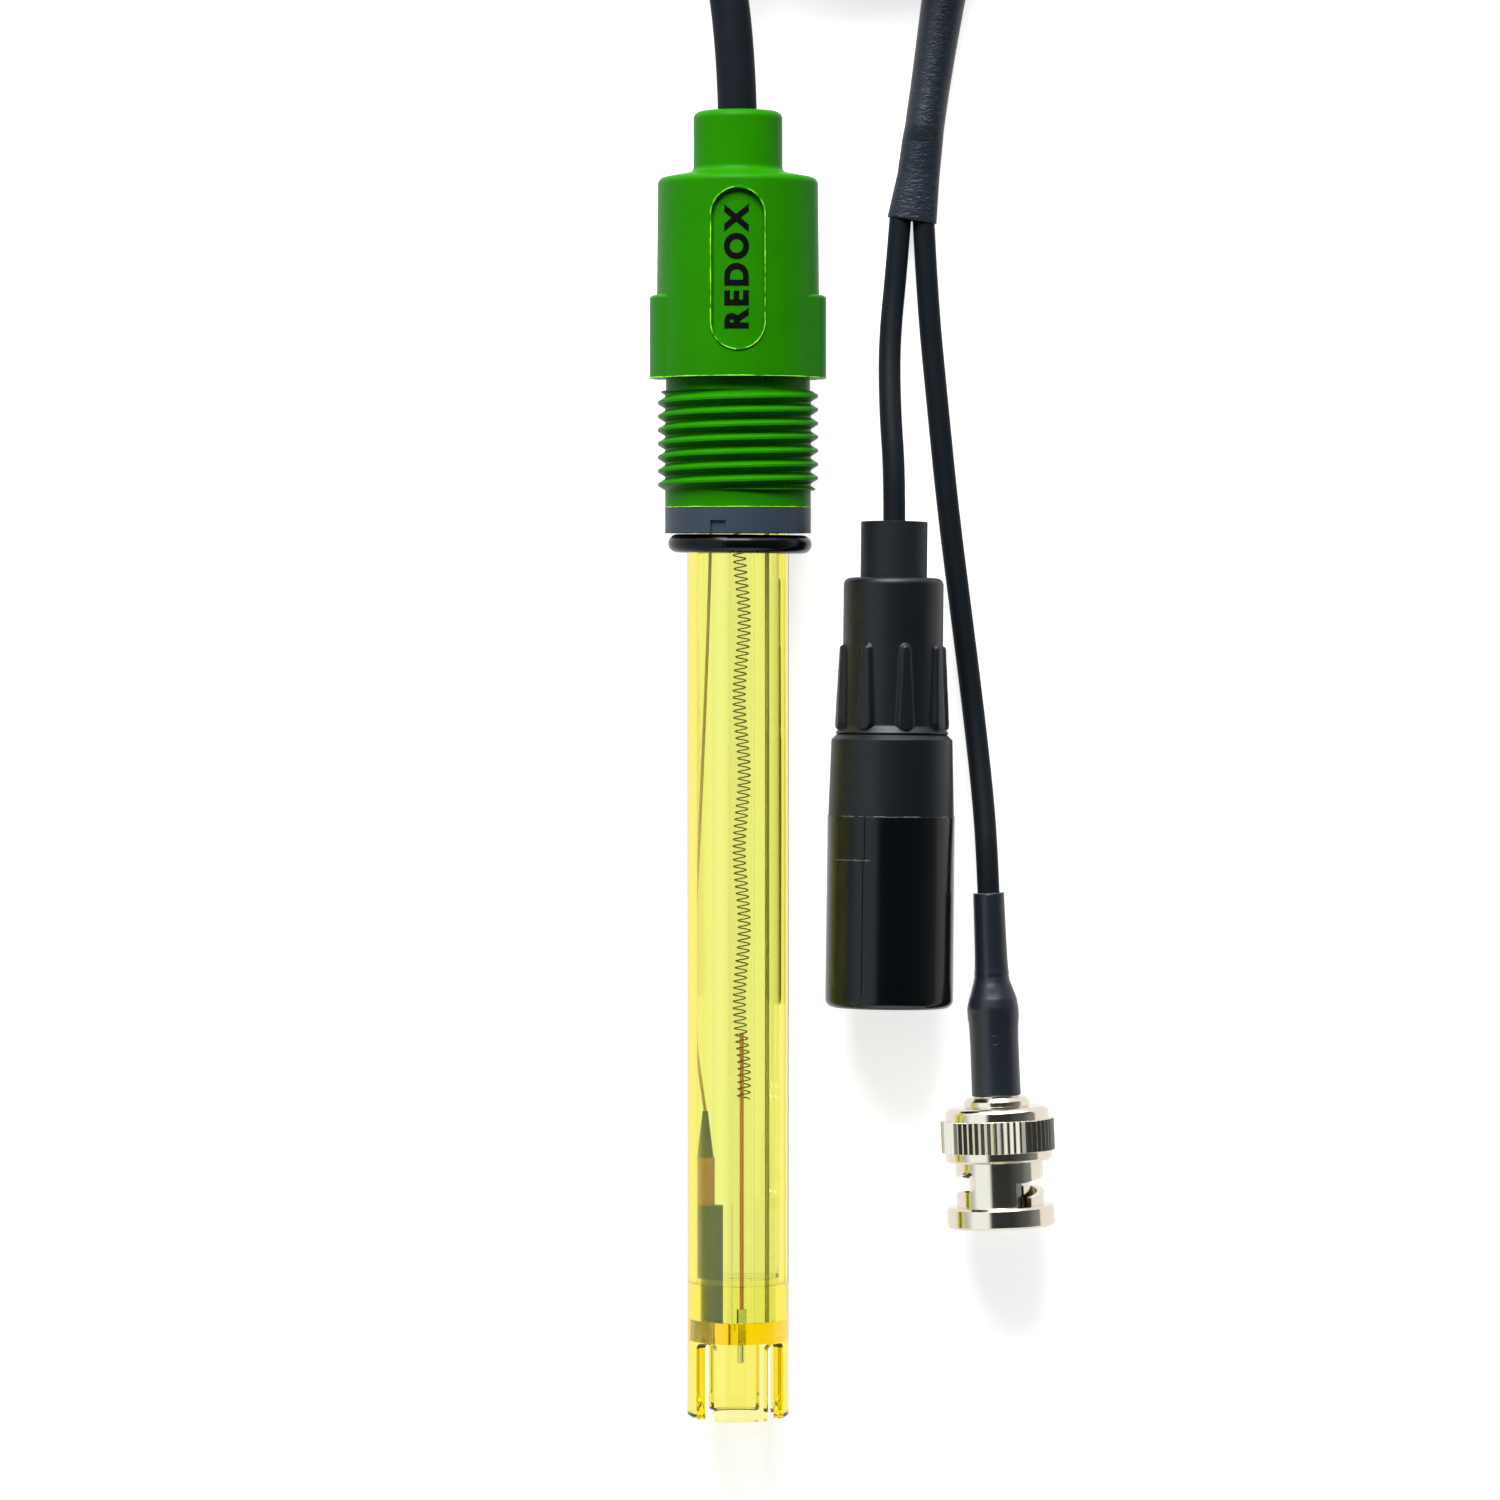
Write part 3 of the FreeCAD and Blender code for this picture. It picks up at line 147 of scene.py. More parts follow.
@dataclass(frozen=True)
class Finish:
    """What a piece is made of and how its surface was made.

    Attributes:
        name: The material's name.
        colour: Its sRGB hex colour.
        roughness: How dull it is.
        grain: How its surface was made.
        grain_mm: The size of that grain.
        depth_mm: The depth of that grain.
        blotch: The colour that it leans to in soft patches, if any.
        blotch_mm: The size of the patches.
        metallic: 1 for bare metal.
        ior: How strongly it bends light.
        specular: How strongly it mirrors.
        transmission: 1 where it is clear.
        edge_mm: The rounding that its sharp edges show.
        absorbed: The colour that its depth gives to light, if it is clear.
        density: How strongly it does so.
    """

    name: str
    colour: str
    roughness: float
    grain: Grain = Grain.POLISHED
    grain_mm: float = 0.25
    depth_mm: float = 0.006
    blotch: str = ""
    blotch_mm: float = 6.0
    metallic: float = 0.0
    ior: float = 1.5
    specular: float = 0.5
    transmission: float = 0.0
    edge_mm: float = 0.0
    absorbed: str = ""
    density: float = 0.0

    def material(self) -> bpy.types.Material:
        """Build the material once, and give the same one after that.

        Returns:
            The material.
        """
        known = bpy.data.materials.get(self.name)
        if known:
            return known
        material = bpy.data.materials.new(self.name)
        material.use_nodes = True
        tree = material.node_tree
        tree.nodes.clear()
        shader = add(tree, "ShaderNodeBsdfPrincipled", self.shader_values(), {})
        output = add(tree, "ShaderNodeOutputMaterial", {}, {"Surface": shader.outputs[0]})
        if self.density:
            values = {"Color": srgb(self.absorbed), "Density": self.density}
            tint = add(tree, "ShaderNodeVolumeAbsorption", values, {})
            tree.links.new(tint.outputs[0], output.inputs["Volume"])
        place = add(tree, "ShaderNodeTexCoord", {}, {}).outputs["Object"]
        self.colour_nodes(tree, place, shader)
        self.relief_nodes(tree, place, shader)
        return material

    def shader_values(self) -> dict[str, Any]:
        """The values that are the same all over the surface."""
        return {
            "Base Color": srgb(self.colour),
            "Roughness": self.roughness,
            "Metallic": self.metallic,
            "IOR": self.ior,
            "Specular IOR Level": self.specular,
            "Transmission Weight": self.transmission,
        }

    def colour_nodes(self, tree: bpy.types.NodeTree, place: Any, shader: Any) -> None:
        """Let the colour lean softly towards the blotch colour.

        Args:
            tree: The material's tree.
            place: The socket with the piece's own coordinates.
            shader: The node that gets the colour.
        """
        if not self.blotch:
            return
        values = {"Scale": 1 / (self.blotch_mm * MM), "Detail": 3.0}
        cloud = add(tree, "ShaderNodeTexNoise", values, {"Vector": place})
        ends = {"data_type": "RGBA", 6: srgb(self.colour), 7: srgb(self.blotch)}
        mix = add(tree, "ShaderNodeMix", ends, {0: cloud.outputs["Fac"]})
        tree.links.new(mix.outputs[2], shader.inputs["Base Color"])

    def relief_nodes(self, tree: bpy.types.NodeTree, place: Any, shader: Any) -> None:
        """Give the surface the relief that its making leaves.

        Args:
            tree: The material's tree.
            place: The socket with the piece's own coordinates.
            shader: The node that gets the relief.
        """
        normal = None
        if self.edge_mm:
            normal = add(tree, "ShaderNodeBevel", {"samples": 4, "Radius": self.edge_mm * MM}, {}).outputs[0]
        if self.grain is Grain.POLISHED:
            if normal:
                tree.links.new(normal, shader.inputs["Normal"])
            return
        height = self.relief_height(tree, place)
        links = {"Height": height}
        if normal:
            links["Normal"] = normal
        bump = add(tree, "ShaderNodeBump", {"Strength": 1.0, "Distance": self.depth_mm * MM}, links)
        tree.links.new(bump.outputs[0], shader.inputs["Normal"])

    def relief_height(self, tree: bpy.types.NodeTree, place: Any) -> Any:
        """The height pattern of the grain, from 0 to 1.

        Args:
            tree: The material's tree.
            place: The socket with the piece's own coordinates.

        Returns:
            The socket that gives the height.
        """
        if self.grain in GRAIN_STRETCH:
            stretch = {"Scale": GRAIN_STRETCH[self.grain]}
            place = add(tree, "ShaderNodeMapping", stretch, {"Vector": place}).outputs[0]
        values = {"Scale": 1 / (self.grain_mm * MM), **GRAIN_NOISE[self.grain]}
        return add(tree, "ShaderNodeTexNoise", values, {"Vector": place}).outputs["Fac"]


# The real grains of moulded, eroded and turned surfaces are 0.02 to 0.1 mm. Those are too fine to show in a
# picture of the whole part, so they are drawn at 0.08 to 0.9 mm.

# Polypropylene, injection moulded in a spark-eroded tool: satin, with a fine even grain.
GREEN_MOULDING = Finish(
    "green_moulded_polypropylene", "268600", 0.36, Grain.SPARK_ERODED, grain_mm=0.3, depth_mm=0.016,
    blotch="1f7a00", blotch_mm=5.0, specular=0.06, edge_mm=0.12,
)  # fmt: skip
# The thin flash that the tool leaves at its edges. Its paler, yellower colour is painted light, for the
# light that comes through it and the highlight on its edge.
FLASH_WITH_PAINTED_LIGHT = Finish("flash_with_painted_light", "96f02a", 0.4, specular=0.1)
# The same resin in dark grey, from a smoother tool: satin and even.
GREY_MOULDING = Finish(
    "grey_moulded_ring", "3a4655", 0.42, Grain.SPARK_ERODED, grain_mm=0.2, depth_mm=0.003,
    blotch="343f4d", specular=0.2, edge_mm=0.1,
)  # fmt: skip
# Nitrile rubber, moulded in a polished tool and greased: black and glossy.
RING_RUBBER = Finish("black_nitrile_rubber", "080b0e", 0.2, specular=0.16)
# Polyetherimide, moulded clear: polished, and its amber comes from the depth of plastic that light crosses.
AMBER_CLEAR = Finish(
    "amber_clear_polyetherimide", "ffffff", 0.0, ior=1.5, transmission=1.0, absorbed="fff900", density=600.0
)
# Salt gel, cast into the tube: clear, with the faintest green.
CLEAR_GEL = Finish(
    "cast_salt_gel", "ffffff", 0.0, ior=1.36, transmission=1.0, absorbed="c8fff0", density=22.0
)
# Borosilicate glass tube, drawn. It stands in the gel, so its index is the glass's over the gel's, which
# gives it faint edges.
STEM_GLASS = Finish("drawn_stem_glass", "ffffff", 0.0, ior=1.09, transmission=1.0)
# Platinum wire, drawn: bright and white.
PLATINUM = Finish("bright_platinum", "d8d6d2", 0.2, metallic=1.0)
# Fine steel wire, wound on a mandrel and dulled. Its dark colour is also painted shade, for how dark it
# looks against the light behind the tube.
WOUND_WIRE = Finish("wound_steel_wire", "5e5a30", 0.4, metallic=0.3)
# Silicone insulation, extruded thin on the sensor's lead: plain orange.
ORANGE_LEAD = Finish("orange_lead_insulation", "ff9a66", 0.4)
# Silicone insulation, extruded thin on the reference side's lead: plain light brown.
BROWN_LEAD = Finish("brown_lead_insulation", "dcb252", 0.4)
# Silver wire, drawn and oxidised: dull, with a green cast.
DARK_WIRE = Finish("oxidised_wire", "c2c87a", 0.4)
# Polypropylene, moulded: the reference cell's dull grey-green body and its pointed seal.
CELL_BODY = Finish("cell_moulding", "56703e", 0.45)
# Silicone rubber, moulded: the cell's dull orange plug.
CELL_PLUG = Finish("orange_cell_plug", "eaa02c", 0.5)
# Porous ceramic, fired and left rough: chalky and pale.
CERAMIC = Finish("porous_ceramic", "e6e2d2", 0.8, Grain.SPARK_ERODED, grain_mm=0.15, depth_mm=0.01)
# Silicone rubber, moulded: a dull dark bung.
BUNG_RUBBER = Finish("bung_rubber", "55554a", 0.5)
# Epoxy resin, cast: black and smooth.
RESIN = Finish("cast_resin", "181818", 0.3)
# Plasticised PVC, extruded: black, satin, with a faint unevenness along its length.
JACKET = Finish(
    "black_pvc_jacket", "12171c", 0.5, Grain.EXTRUDED, grain_mm=0.9, depth_mm=0.010,
    blotch="171d23", blotch_mm=4.0, specular=0.07,
)  # fmt: skip
# Polyolefin heat-shrink: dull blue-black, with fine wrinkles round it where it drew together.
SHRINK = Finish(
    "black_heat_shrink", "232b38", 0.38, Grain.SHRUNK, grain_mm=0.45, depth_mm=0.13,
    blotch="1d242f", blotch_mm=1.6, specular=0.35,
)  # fmt: skip
# The same film drawn tight over a hard core: smoother.
TIGHT_SHRINK = Finish(
    "tight_heat_shrink", "1d242d", 0.36, Grain.EXTRUDED, grain_mm=0.7, depth_mm=0.014,
    blotch="181e26", blotch_mm=1.6, specular=0.45,
)  # fmt: skip
# Glass-filled nylon from a spark-eroded tool: black and dull.
BLACK_MOULDING = Finish(
    "black_moulded_nylon", "0b0f14", 0.4, Grain.SPARK_ERODED, grain_mm=0.16, depth_mm=0.004,
    blotch="0f141a", blotch_mm=5.0, specular=0.3, edge_mm=0.2,
)  # fmt: skip
# The cap comes from a smoother tool and is a little blacker, with soft gloss.
CAP_MOULDING = Finish(
    "black_moulded_cap", "06090c", 0.2, Grain.SPARK_ERODED, grain_mm=0.3, depth_mm=0.001,
    blotch="080b0f", specular=0.3, edge_mm=0.25,
)  # fmt: skip
# Black plastic that is worn and scuffed: paler and rougher than the rest. On the coax boot's lip the same
# paler colour is a painted highlight.
SCUFF_AND_PAINTED_HIGHLIGHT = Finish("scuff_and_painted_highlight", "4d5358", 0.6, Grain.SPARK_ERODED, grain_mm=0.15, depth_mm=0.01)
# Soft rubber, moulded, of the cable boot: black and dull.
BOOT_RUBBER = Finish(
    "black_boot_rubber", "14191f", 0.5, Grain.SPARK_ERODED, grain_mm=0.4, blotch="1a2026", blotch_mm=3.0,
    specular=0.2, edge_mm=0.15,
)  # fmt: skip
# Bright nickel plate over turned brass: pale and warm, with faint turning marks.
NICKEL = Finish(
    "bright_nickel_plate", "e8dece", 0.13, Grain.TURNED, grain_mm=0.08, depth_mm=0.0006, metallic=1.0,
    edge_mm=0.08,
)  # fmt: skip
# Gold flash over turned brass: warm and bright.
GOLD_CONTACT = Finish("gilded_contact", "d9b25a", 0.2, metallic=1.0)
# Fluoropolymer, turned: milky white and satin.
WHITE_INSULATOR = Finish("white_turned_insulator", "efece4", 0.45)
# Polyester, moulded: plain dark grey.
DARK_INSULATOR = Finish("dark_insulator", "26282a", 0.45)
# Silicone rubber, cut from sheet: dull red-brown.
GASKET = Finish("silicone_gasket", "8a3a2a", 0.5)
# Spring steel, rolled and stamped: grey and bright.
SPRING = Finish("spring_steel", "b0b0ae", 0.3, metallic=1.0)
# Nylon, moulded, of the cable ties: black and dull.
TIE_NYLON = Finish(
    "black_tie_nylon", "121417", 0.55, Grain.EXTRUDED, grain_mm=0.6, depth_mm=0.01, specular=0.1
)
# Marking ink, stamped: dead black.
LABEL_INK = Finish("black_marking_ink", "060807", 0.6, specular=0.05)


def to_object(
    name: str, shape: bmesh.types.BMesh, finish: Finish, body: Body, smooth: bool = True
) -> bpy.types.Object:
    """Turn a bmesh to an object that rides on a body.

    Args:
        name: The piece's name.
        shape: Its mesh in the row frame, freed here.
        finish: Its material.
        body: The body it rides on.
        smooth: Whether its faces are shaded smooth.

    Returns:
        The object.
    """
    bmesh.ops.recalc_face_normals(shape, faces=shape.faces)
    mesh = bpy.data.meshes.new(name)
    shape.to_mesh(mesh)
    shape.free()
    for face in mesh.polygons:
        face.use_smooth = smooth
    mesh.materials.append(finish.material())
    piece = bpy.data.objects.new(name, mesh)
    bpy.context.scene.collection.objects.link(piece)
    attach(piece, body.value)
    return piece


def smooth_round(piece: bpy.types.Object, corner: float) -> None:
    """Shade a mesh smooth, but keep its corners sharp.

    Args:
        piece: The mesh object.
        corner: The turn in radians over which an edge counts as a corner.
    """
    mesh = piece.data
    mesh.shade_smooth()
    mesh.set_sharp_from_angle(angle=corner)


def wrapped(rings: int, around: int, shape: Callable[[float, float], Vector]) -> bmesh.types.BMesh:
    """Wrap a grid to a closed-round shell.

    Args:
        rings: Steps along the shell.
        around: Steps round it.
        shape: Gives a point from how far along (0 to 1) and the angle round.

    Returns:
        The shell, open at both ends.
    """
    shell = bmesh.new()
    shell.loops.layers.uv.new("UVMap")
    bmesh.ops.create_grid(shell, x_segments=rings, y_segments=around, size=0.5, calc_uvs=True)
    for vertex in shell.verts:
        vertex.co = shape(vertex.co.x + 0.5, 2 * math.pi * (vertex.co.y + 0.5))
    bmesh.ops.remove_doubles(shell, verts=shell.verts, dist=MERGE_DISTANCE)
    return shell


def baked(name: str, data: bpy.types.Curve) -> bmesh.types.BMesh:
    """Turn a curve or a text to a mesh.

    Args:
        name: The piece's name.
        data: The curve or text.

    Returns:
        Its mesh, in the curve's own frame.
    """
    holder = bpy.data.objects.new(name, data)
    bpy.context.scene.collection.objects.link(holder)
    bpy.context.view_layer.update()
    mesh = bpy.data.meshes.new_from_object(holder)
    bpy.data.objects.remove(holder)
    shape = bmesh.new()
    shape.from_mesh(mesh)
    bpy.data.meshes.remove(mesh)
    return shape


def round_angles(count: int) -> list[float]:
    """Equal steps once round, in radians, from 0."""
    return [2 * math.pi * number / count for number in range(count)]


def cord_curve(name: str, points: Sequence[Point], radius: float, finish: Finish) -> bpy.types.Object:
    """A round cord along control points in millimetres.

    Args:
        name: The piece's name.
        points: The route's control points.
        radius: The cord's radius in millimetres.
        finish: Its material.

    Returns:
        The curve object, riding on the electrode.
    """
    curve = bpy.data.curves.new(name, "CURVE")
    curve.dimensions = "3D"
    curve.resolution_u = 8
    curve.bevel_depth = radius * MM
    curve.bevel_resolution = 6
    curve.use_fill_caps = True
    line = curve.splines.new("NURBS")
    line.points.add(len(points) - 1)
    for vertex, point in zip(line.points, points):
        vertex.co = (*(part * MM for part in point), 1.0)
    line.order_u = 3
    line.use_endpoint_u = True
    curve.materials.append(finish.material())
    cord = bpy.data.objects.new(name, curve)
    bpy.context.scene.collection.objects.link(cord)
    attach(cord, Body.ELECTRODE.value)
    return cord


def bead(
    name: str,
    points: Sequence[Vector],
    radius: float,
    finish: Finish,
    body: Body,
    ragged: float = 0.0,
    closed: bool = False,
) -> bpy.types.Object:
    """A fine raised line, such as a parting line or a scuff, along points in metres.

    Args:
        name: The piece's name.
        points: The line's points.
        radius: Half its thickness in millimetres.
        finish: Its material.
        body: The body it rides on.
        ragged: How much its thickness varies, from 0 to 1.
        closed: Whether it closes on itself.

    Returns:
        The line as a mesh object.
    """
    curve = bpy.data.curves.new(name, "CURVE")
    curve.dimensions = "3D"
    curve.bevel_depth = radius * MM
    curve.bevel_resolution = 1
    curve.use_fill_caps = not closed
    line = curve.splines.new("POLY")
    line.points.add(len(points) - 1)
    line.use_cyclic_u = closed
    for number, (vertex, point) in enumerate(zip(line.points, points)):
        vertex.co = (*point, 1.0)
        vertex.radius = 1 + ragged * noise.noise(Vector((0.37 * number, 1.7, 0.4)))
    return to_object(name, baked(name + "_line", curve), finish, body)


def dress(frame: dict[str, Any], finishes: dict[str, Finish]) -> None:
    """Give carried-over nodes their materials.

    Args:
        frame: The loaded frame.
        finishes: The finish of each node.
    """
    for node, finish in finishes.items():
        mesh = frame["nodes"][node].data
        mesh.materials.clear()
        mesh.materials.append(finish.material())


@dataclass
class Studio:
    """Pale floor, soft light and the camera over the electrode.

    The camera's distance and the size of a pixel on the electrode's axis come from the photograph. The sky
    and the boxes are stops of direction, from -1 to 1 along an axis, and brightness.
    """

    scale_mm: float = 0.13344
    axis_height: float = 9.4
    distance: float = 743.0
    centre: tuple[float, float] = (1.6, 2.135)
    image: int = 1500
    sensor: float = 36.0
    floor_reach: float = 2.0
    floor_drop: float = 0.05
    floor_grey: float = 0.8
    floor_glow: float = 0.75
    lamp_place: Point = (-0.08, 0.62, 0.42)
    lamp_size: tuple[float, float] = (0.5, 0.4)
    lamp_watts: float = 9.6
    lamp_gloss: float = 0.12
    sky: Stops = ((-1.0, 0.02), (-0.1, 0.05), (0.3, 0.16), (1.0, 0.85))
    side_boxes: Stops = (
        (-1.0, 0.5), (-0.9, 1.2), (-0.48, 1.2), (-0.38, 0.04), (0.40, 0.04), (0.86, 0.12), (1.0, 0.3),
    )  # fmt: skip
    end_boxes: Stops = ((-1.0, 3.2), (-0.9, 2.4), (-0.76, 0.0), (0.60, 0.0), (0.80, 4.2), (1.0, 5.0))
    box_tint: tuple[float, float, float, float] = (0.88, 0.97, 1.0, 1.0)

    def build(self) -> None:
        """Make the camera, floor, lamps and world."""
        self.camera()
        self.floor()
        self.lamps()
        self.world()

    def camera(self) -> None:
        """Look straight down, the nose at the top of the picture."""
        view = bpy.data.cameras.new("camera")
        view.sensor_width = self.sensor
        view.lens = self.sensor * self.distance / (self.scale_mm * self.image)
        camera = bpy.data.objects.new("camera", view)
        height = (self.distance + self.axis_height) * MM
        camera.location = (self.centre[0] * MM, self.centre[1] * MM, height)
        bpy.context.scene.collection.objects.link(camera)
        bpy.context.scene.camera = camera

    def floor(self) -> None:
        """A pale floor that shows white where it is seen, and keeps a soft shadow."""
        shape = bmesh.new()
        bmesh.ops.create_grid(shape, x_segments=1, y_segments=1, size=self.floor_reach)
        bmesh.ops.translate(shape, verts=shape.verts, vec=(0, 0, -self.floor_drop * MM))
        mesh = bpy.data.meshes.new("floor")
        shape.to_mesh(mesh)
        shape.free()
        floor = bpy.data.objects.new("floor", mesh)
        bpy.context.scene.collection.objects.link(floor)
        material = bpy.data.materials.new("pale_floor")
        material.use_nodes = True
        tree = material.node_tree
        tree.nodes.clear()
        paper = add(tree, "ShaderNodeBsdfDiffuse", {"Color": (*[self.floor_grey] * 3, 1)}, {})
        path = add(tree, "ShaderNodeLightPath", {}, {})
        level = {"operation": "MULTIPLY", 1: self.floor_glow}
        glow = add(tree, "ShaderNodeMath", level, {0: path.outputs["Is Camera Ray"]})
        seen = add(tree, "ShaderNodeEmission", {"Color": (1, 1, 1, 1)}, {"Strength": glow.outputs[0]})
        lit = add(tree, "ShaderNodeAddShader", {}, {0: paper.outputs[0], 1: seen.outputs[0]})
        through = add(
            tree,
            "ShaderNodeMath",
            {"operation": "MAXIMUM"},
            {0: path.outputs["Is Glossy Ray"], 1: path.outputs["Is Transmission Ray"]},
        )
        white = add(tree, "ShaderNodeEmission", {"Color": (1, 1, 1, 1), "Strength": 1.0}, {})
        sides = {0: through.outputs[0], 1: lit.outputs[0], 2: white.outputs[0]}
        mixed = add(tree, "ShaderNodeMixShader", {}, sides)
        add(tree, "ShaderNodeOutputMaterial", {}, {"Surface": mixed.outputs[0]})
        mesh.materials.append(material)

    def lamps(self) -> None:
        """One soft box low over the nose end."""
        place = Vector(self.lamp_place)
        lamp = bpy.data.lights.new("nose_box", "AREA")
        lamp.shape = "RECTANGLE"
        lamp.size, lamp.size_y = self.lamp_size
        lamp.energy = self.lamp_watts
        lamp.specular_factor = self.lamp_gloss
        holder = bpy.data.objects.new("nose_box", lamp)
        holder.location = place
        holder.rotation_euler = (-place).to_track_quat("-Z", "Y").to_euler()
        bpy.context.scene.collection.objects.link(holder)

    def world(self) -> None:
        """Even light from all round. Metal and gloss see a soft box on each side and a dark ceiling."""
        world = bpy.data.worlds.new("studio")
        bpy.context.scene.world = world
        world.use_nodes = True
        tree = world.node_tree
        tree.nodes.clear()
        path = add(tree, "ShaderNodeLightPath", {}, {})
        sky = add(tree, "ShaderNodeTexCoord", {}, {}).outputs["Generated"]
        axes = add(tree, "ShaderNodeSeparateXYZ", {}, {"Vector": sky})
        sides = self.ramp(tree, axes.outputs["X"], self.side_boxes)
        ends = self.ramp(tree, axes.outputs["Y"], self.end_boxes)
        boxes = add(tree, "ShaderNodeMath", {"operation": "MAXIMUM"}, {0: sides, 1: ends})
        level = add(
            tree,
            "ShaderNodeMix",
            {"data_type": "FLOAT"},
            {
                0: path.outputs["Is Glossy Ray"],
                2: self.ramp(tree, axes.outputs["Y"], self.sky),
                3: boxes.outputs[0],
            },
        )
        through = add(
            tree,
            "ShaderNodeMath",
            {"operation": "MAXIMUM"},
            {0: path.outputs["Is Camera Ray"], 1: path.outputs["Is Transmission Ray"]},
        )
        white = {"data_type": "FLOAT", 3: 1.0}
        seen = add(tree, "ShaderNodeMix", white, {0: through.outputs[0], 2: level.outputs[0]})
        tints = {"data_type": "RGBA", 6: (1, 1, 1, 1), 7: self.box_tint}
        tint = add(tree, "ShaderNodeMix", tints, {0: path.outputs["Is Glossy Ray"]})
        glow = add(tree, "ShaderNodeBackground", {}, {"Color": tint.outputs[2], "Strength": seen.outputs[0]})
        add(tree, "ShaderNodeOutputWorld", {}, {"Surface": glow.outputs[0]})

    def ramp(self, tree: bpy.types.NodeTree, axis: Any, stops: Stops) -> Any:
        """Turn a direction's share along an axis, from -1 to 1, to a brightness.

        Args:
            tree: The world's tree.
            axis: The socket that gives the share.
            stops: Shares along the axis with the brightness there.

        Returns:
            The socket that gives the brightness.
        """
        place = add(tree, "ShaderNodeMath", {"operation": "MULTIPLY_ADD", 1: 0.5, 2: 0.5}, {0: axis})
        band = add(tree, "ShaderNodeValToRGB", {}, {"Fac": place.outputs[0]})
        marks = band.color_ramp.elements
        while len(marks) < len(stops):
            marks.new(0.5)
        for mark, (share, level) in zip(marks, stops):
            mark.position = 0.5 + share / 2
            mark.color = (level, level, level, 1)
        return band.outputs["Color"]


@dataclass
class Electrode:
    """The electrode: threaded head, rings, clear tube and tip, and what they hold.

    Its sizes are in millimetres, and its heights are distances from the prong ends along its axis. A line of
    flash is half its thickness and how much that varies.
    """

    tip_y: float = -86.92877
    prong_radius: float = 6.8
    crest_radius: float = 10.67
    first_crest: float = 124.2
    land_foot: float = 121.45
    land_radius: float = 9.7
    barrel_foot: float = 138.6
    barrel_height: float = 26.5
    foot_radius: float = 10.9
    top_radius: float = 10.65
    lug_reach: float = 11.75
    lug_breadth: float = 9.1
    recess_foot: float = 142.2
    recess_width: float = 6.9
    recess_length: float = 21.0
    recess_depth: float = 0.5
    rim_width: float = 0.25
    rim_height: float = 0.12
    recess_line: tuple[float, float] = (0.075, 0.8)
    foot_line: tuple[float, float] = (0.07, 0.7)
    foot_line_lift: float = 0.03
    foot_line_inset: float = 0.04
    land_line: tuple[float, float] = (0.06, 1.0)
    flash_sunk: float = 0.05
    flash_sunk_at_crest: float = 0.045
    flash_crest: float = 1.5
    flash_stray: float = 0.05
    flash_step: float = 0.3
    ring_points: int = 180
    gel_radius: float = 5.5
    gel_foot: float = 13.06
    gel_top: float = 146.9
    gel_sides: int = 96
    gel_corner: float = math.radians(30)
    spigot_top: float = 18.82
    spigot_bore: float = 5.05
    stem_place: float = 0.36
    coil_top: float = 150.6
    coil_length: float = 108.0
    coil_radius: float = 0.6
    coil_pitch: float = 0.9
    wire_radius: float = 0.09
    wire_steps: int = 14
    snake: float = 0.25
    snake_period: float = 20.3
    snake_crest: float = 106.3
    label: str = "REDOX"
    label_size: float = 4.15
    label_weight: float = 0.2
    label_spacing: float = 1.25
    ink_depth: float = 0.02
    ink_lift: float = 0.015
    finishes: dict[str, Finish] = field(
        default_factory=lambda: {
            "threaded_head": GREEN_MOULDING,
            "seat_ring": GREY_MOULDING,
            "o_ring": RING_RUBBER,
            "shaft_tube": AMBER_CLEAR,
            "tip_guard": AMBER_CLEAR,
            "inner_stem": STEM_GLASS,
            "sensor_pin": PLATINUM,
            "sensor_lead": ORANGE_LEAD,
            "reference_wire": DARK_WIRE,
            "reference_cell": CELL_BODY,
            "reference_plug": CELL_PLUG,
            "reference_seal": CELL_BODY,
            "reference_lead": BROWN_LEAD,
            "junction": CERAMIC,
            "tube_bung": BUNG_RUBBER,
            "head_potting": RESIN,
        }
    )

    @property
    def tilt(self) -> float:
        """How far the axis leans up from the prongs to the first thread crest, in radians."""
        return math.atan((self.crest_radius - self.prong_radius) / self.first_crest)

    def at(self, along: float, across: float = 0.0, up: float = 0.0) -> Vector:
        """The row-frame point of a place on the electrode, all in millimetres but the result.

        Args:
            along: Distance from the prong ends.
            across: To the right, seen from above.
            up: Towards the label.

        Returns:
            The point in metres.
        """
        cos, sin = math.cos(self.tilt), math.sin(self.tilt)
        lift = self.prong_radius * cos
        return Vector((across, self.tip_y + along * cos - up * sin, lift + along * sin + up * cos)) * MM

    def barrel_radius(self, along: float) -> float:
        """The barrel's radius at a distance from the prong ends."""
        share = (along - self.barrel_foot) / self.barrel_height
        return self.foot_radius + (self.top_radius - self.foot_radius) * share

    def build(self, frame: dict[str, Any]) -> None:
        """Dress the nodes and make the gel, the wound wire, the flash lines and the label.

        Args:
            frame: The loaded frame.
        """
        dress(frame, self.finishes)
        self.gel()
        self.wound_wire()
        self.recess_flash()
        self.foot_flash()
        self.land_flash()
        self.marking()

    def gel(self) -> None:
        """The gel that fills the tube, and its narrower foot in the tip."""
        corners = (
            (0.0, self.gel_foot),
            (self.spigot_bore, self.gel_foot),
            (self.spigot_bore, self.spigot_top),
            (self.gel_radius, self.spigot_top),
            (self.gel_radius, self.gel_top),
            (0.0, self.gel_top),
        )
        steps = len(corners) - 1

        def shape(share: float, angle: float) -> Vector:
            """A point on the gel.

            Args:
                share: How far along its corners, from 0 to 1.
                angle: The angle round it.

            Returns:
                The point in metres.
            """
            radius, along = corners[round(share * steps)]
            return self.at(along, radius * math.cos(angle), radius * math.sin(angle))

        fill = wrapped(steps, self.gel_sides, shape)
        gel = to_object("salt_gel", fill, CLEAR_GEL, Body.ELECTRODE, smooth=False)
        smooth_round(gel, self.gel_corner)
        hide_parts("gel_fill")

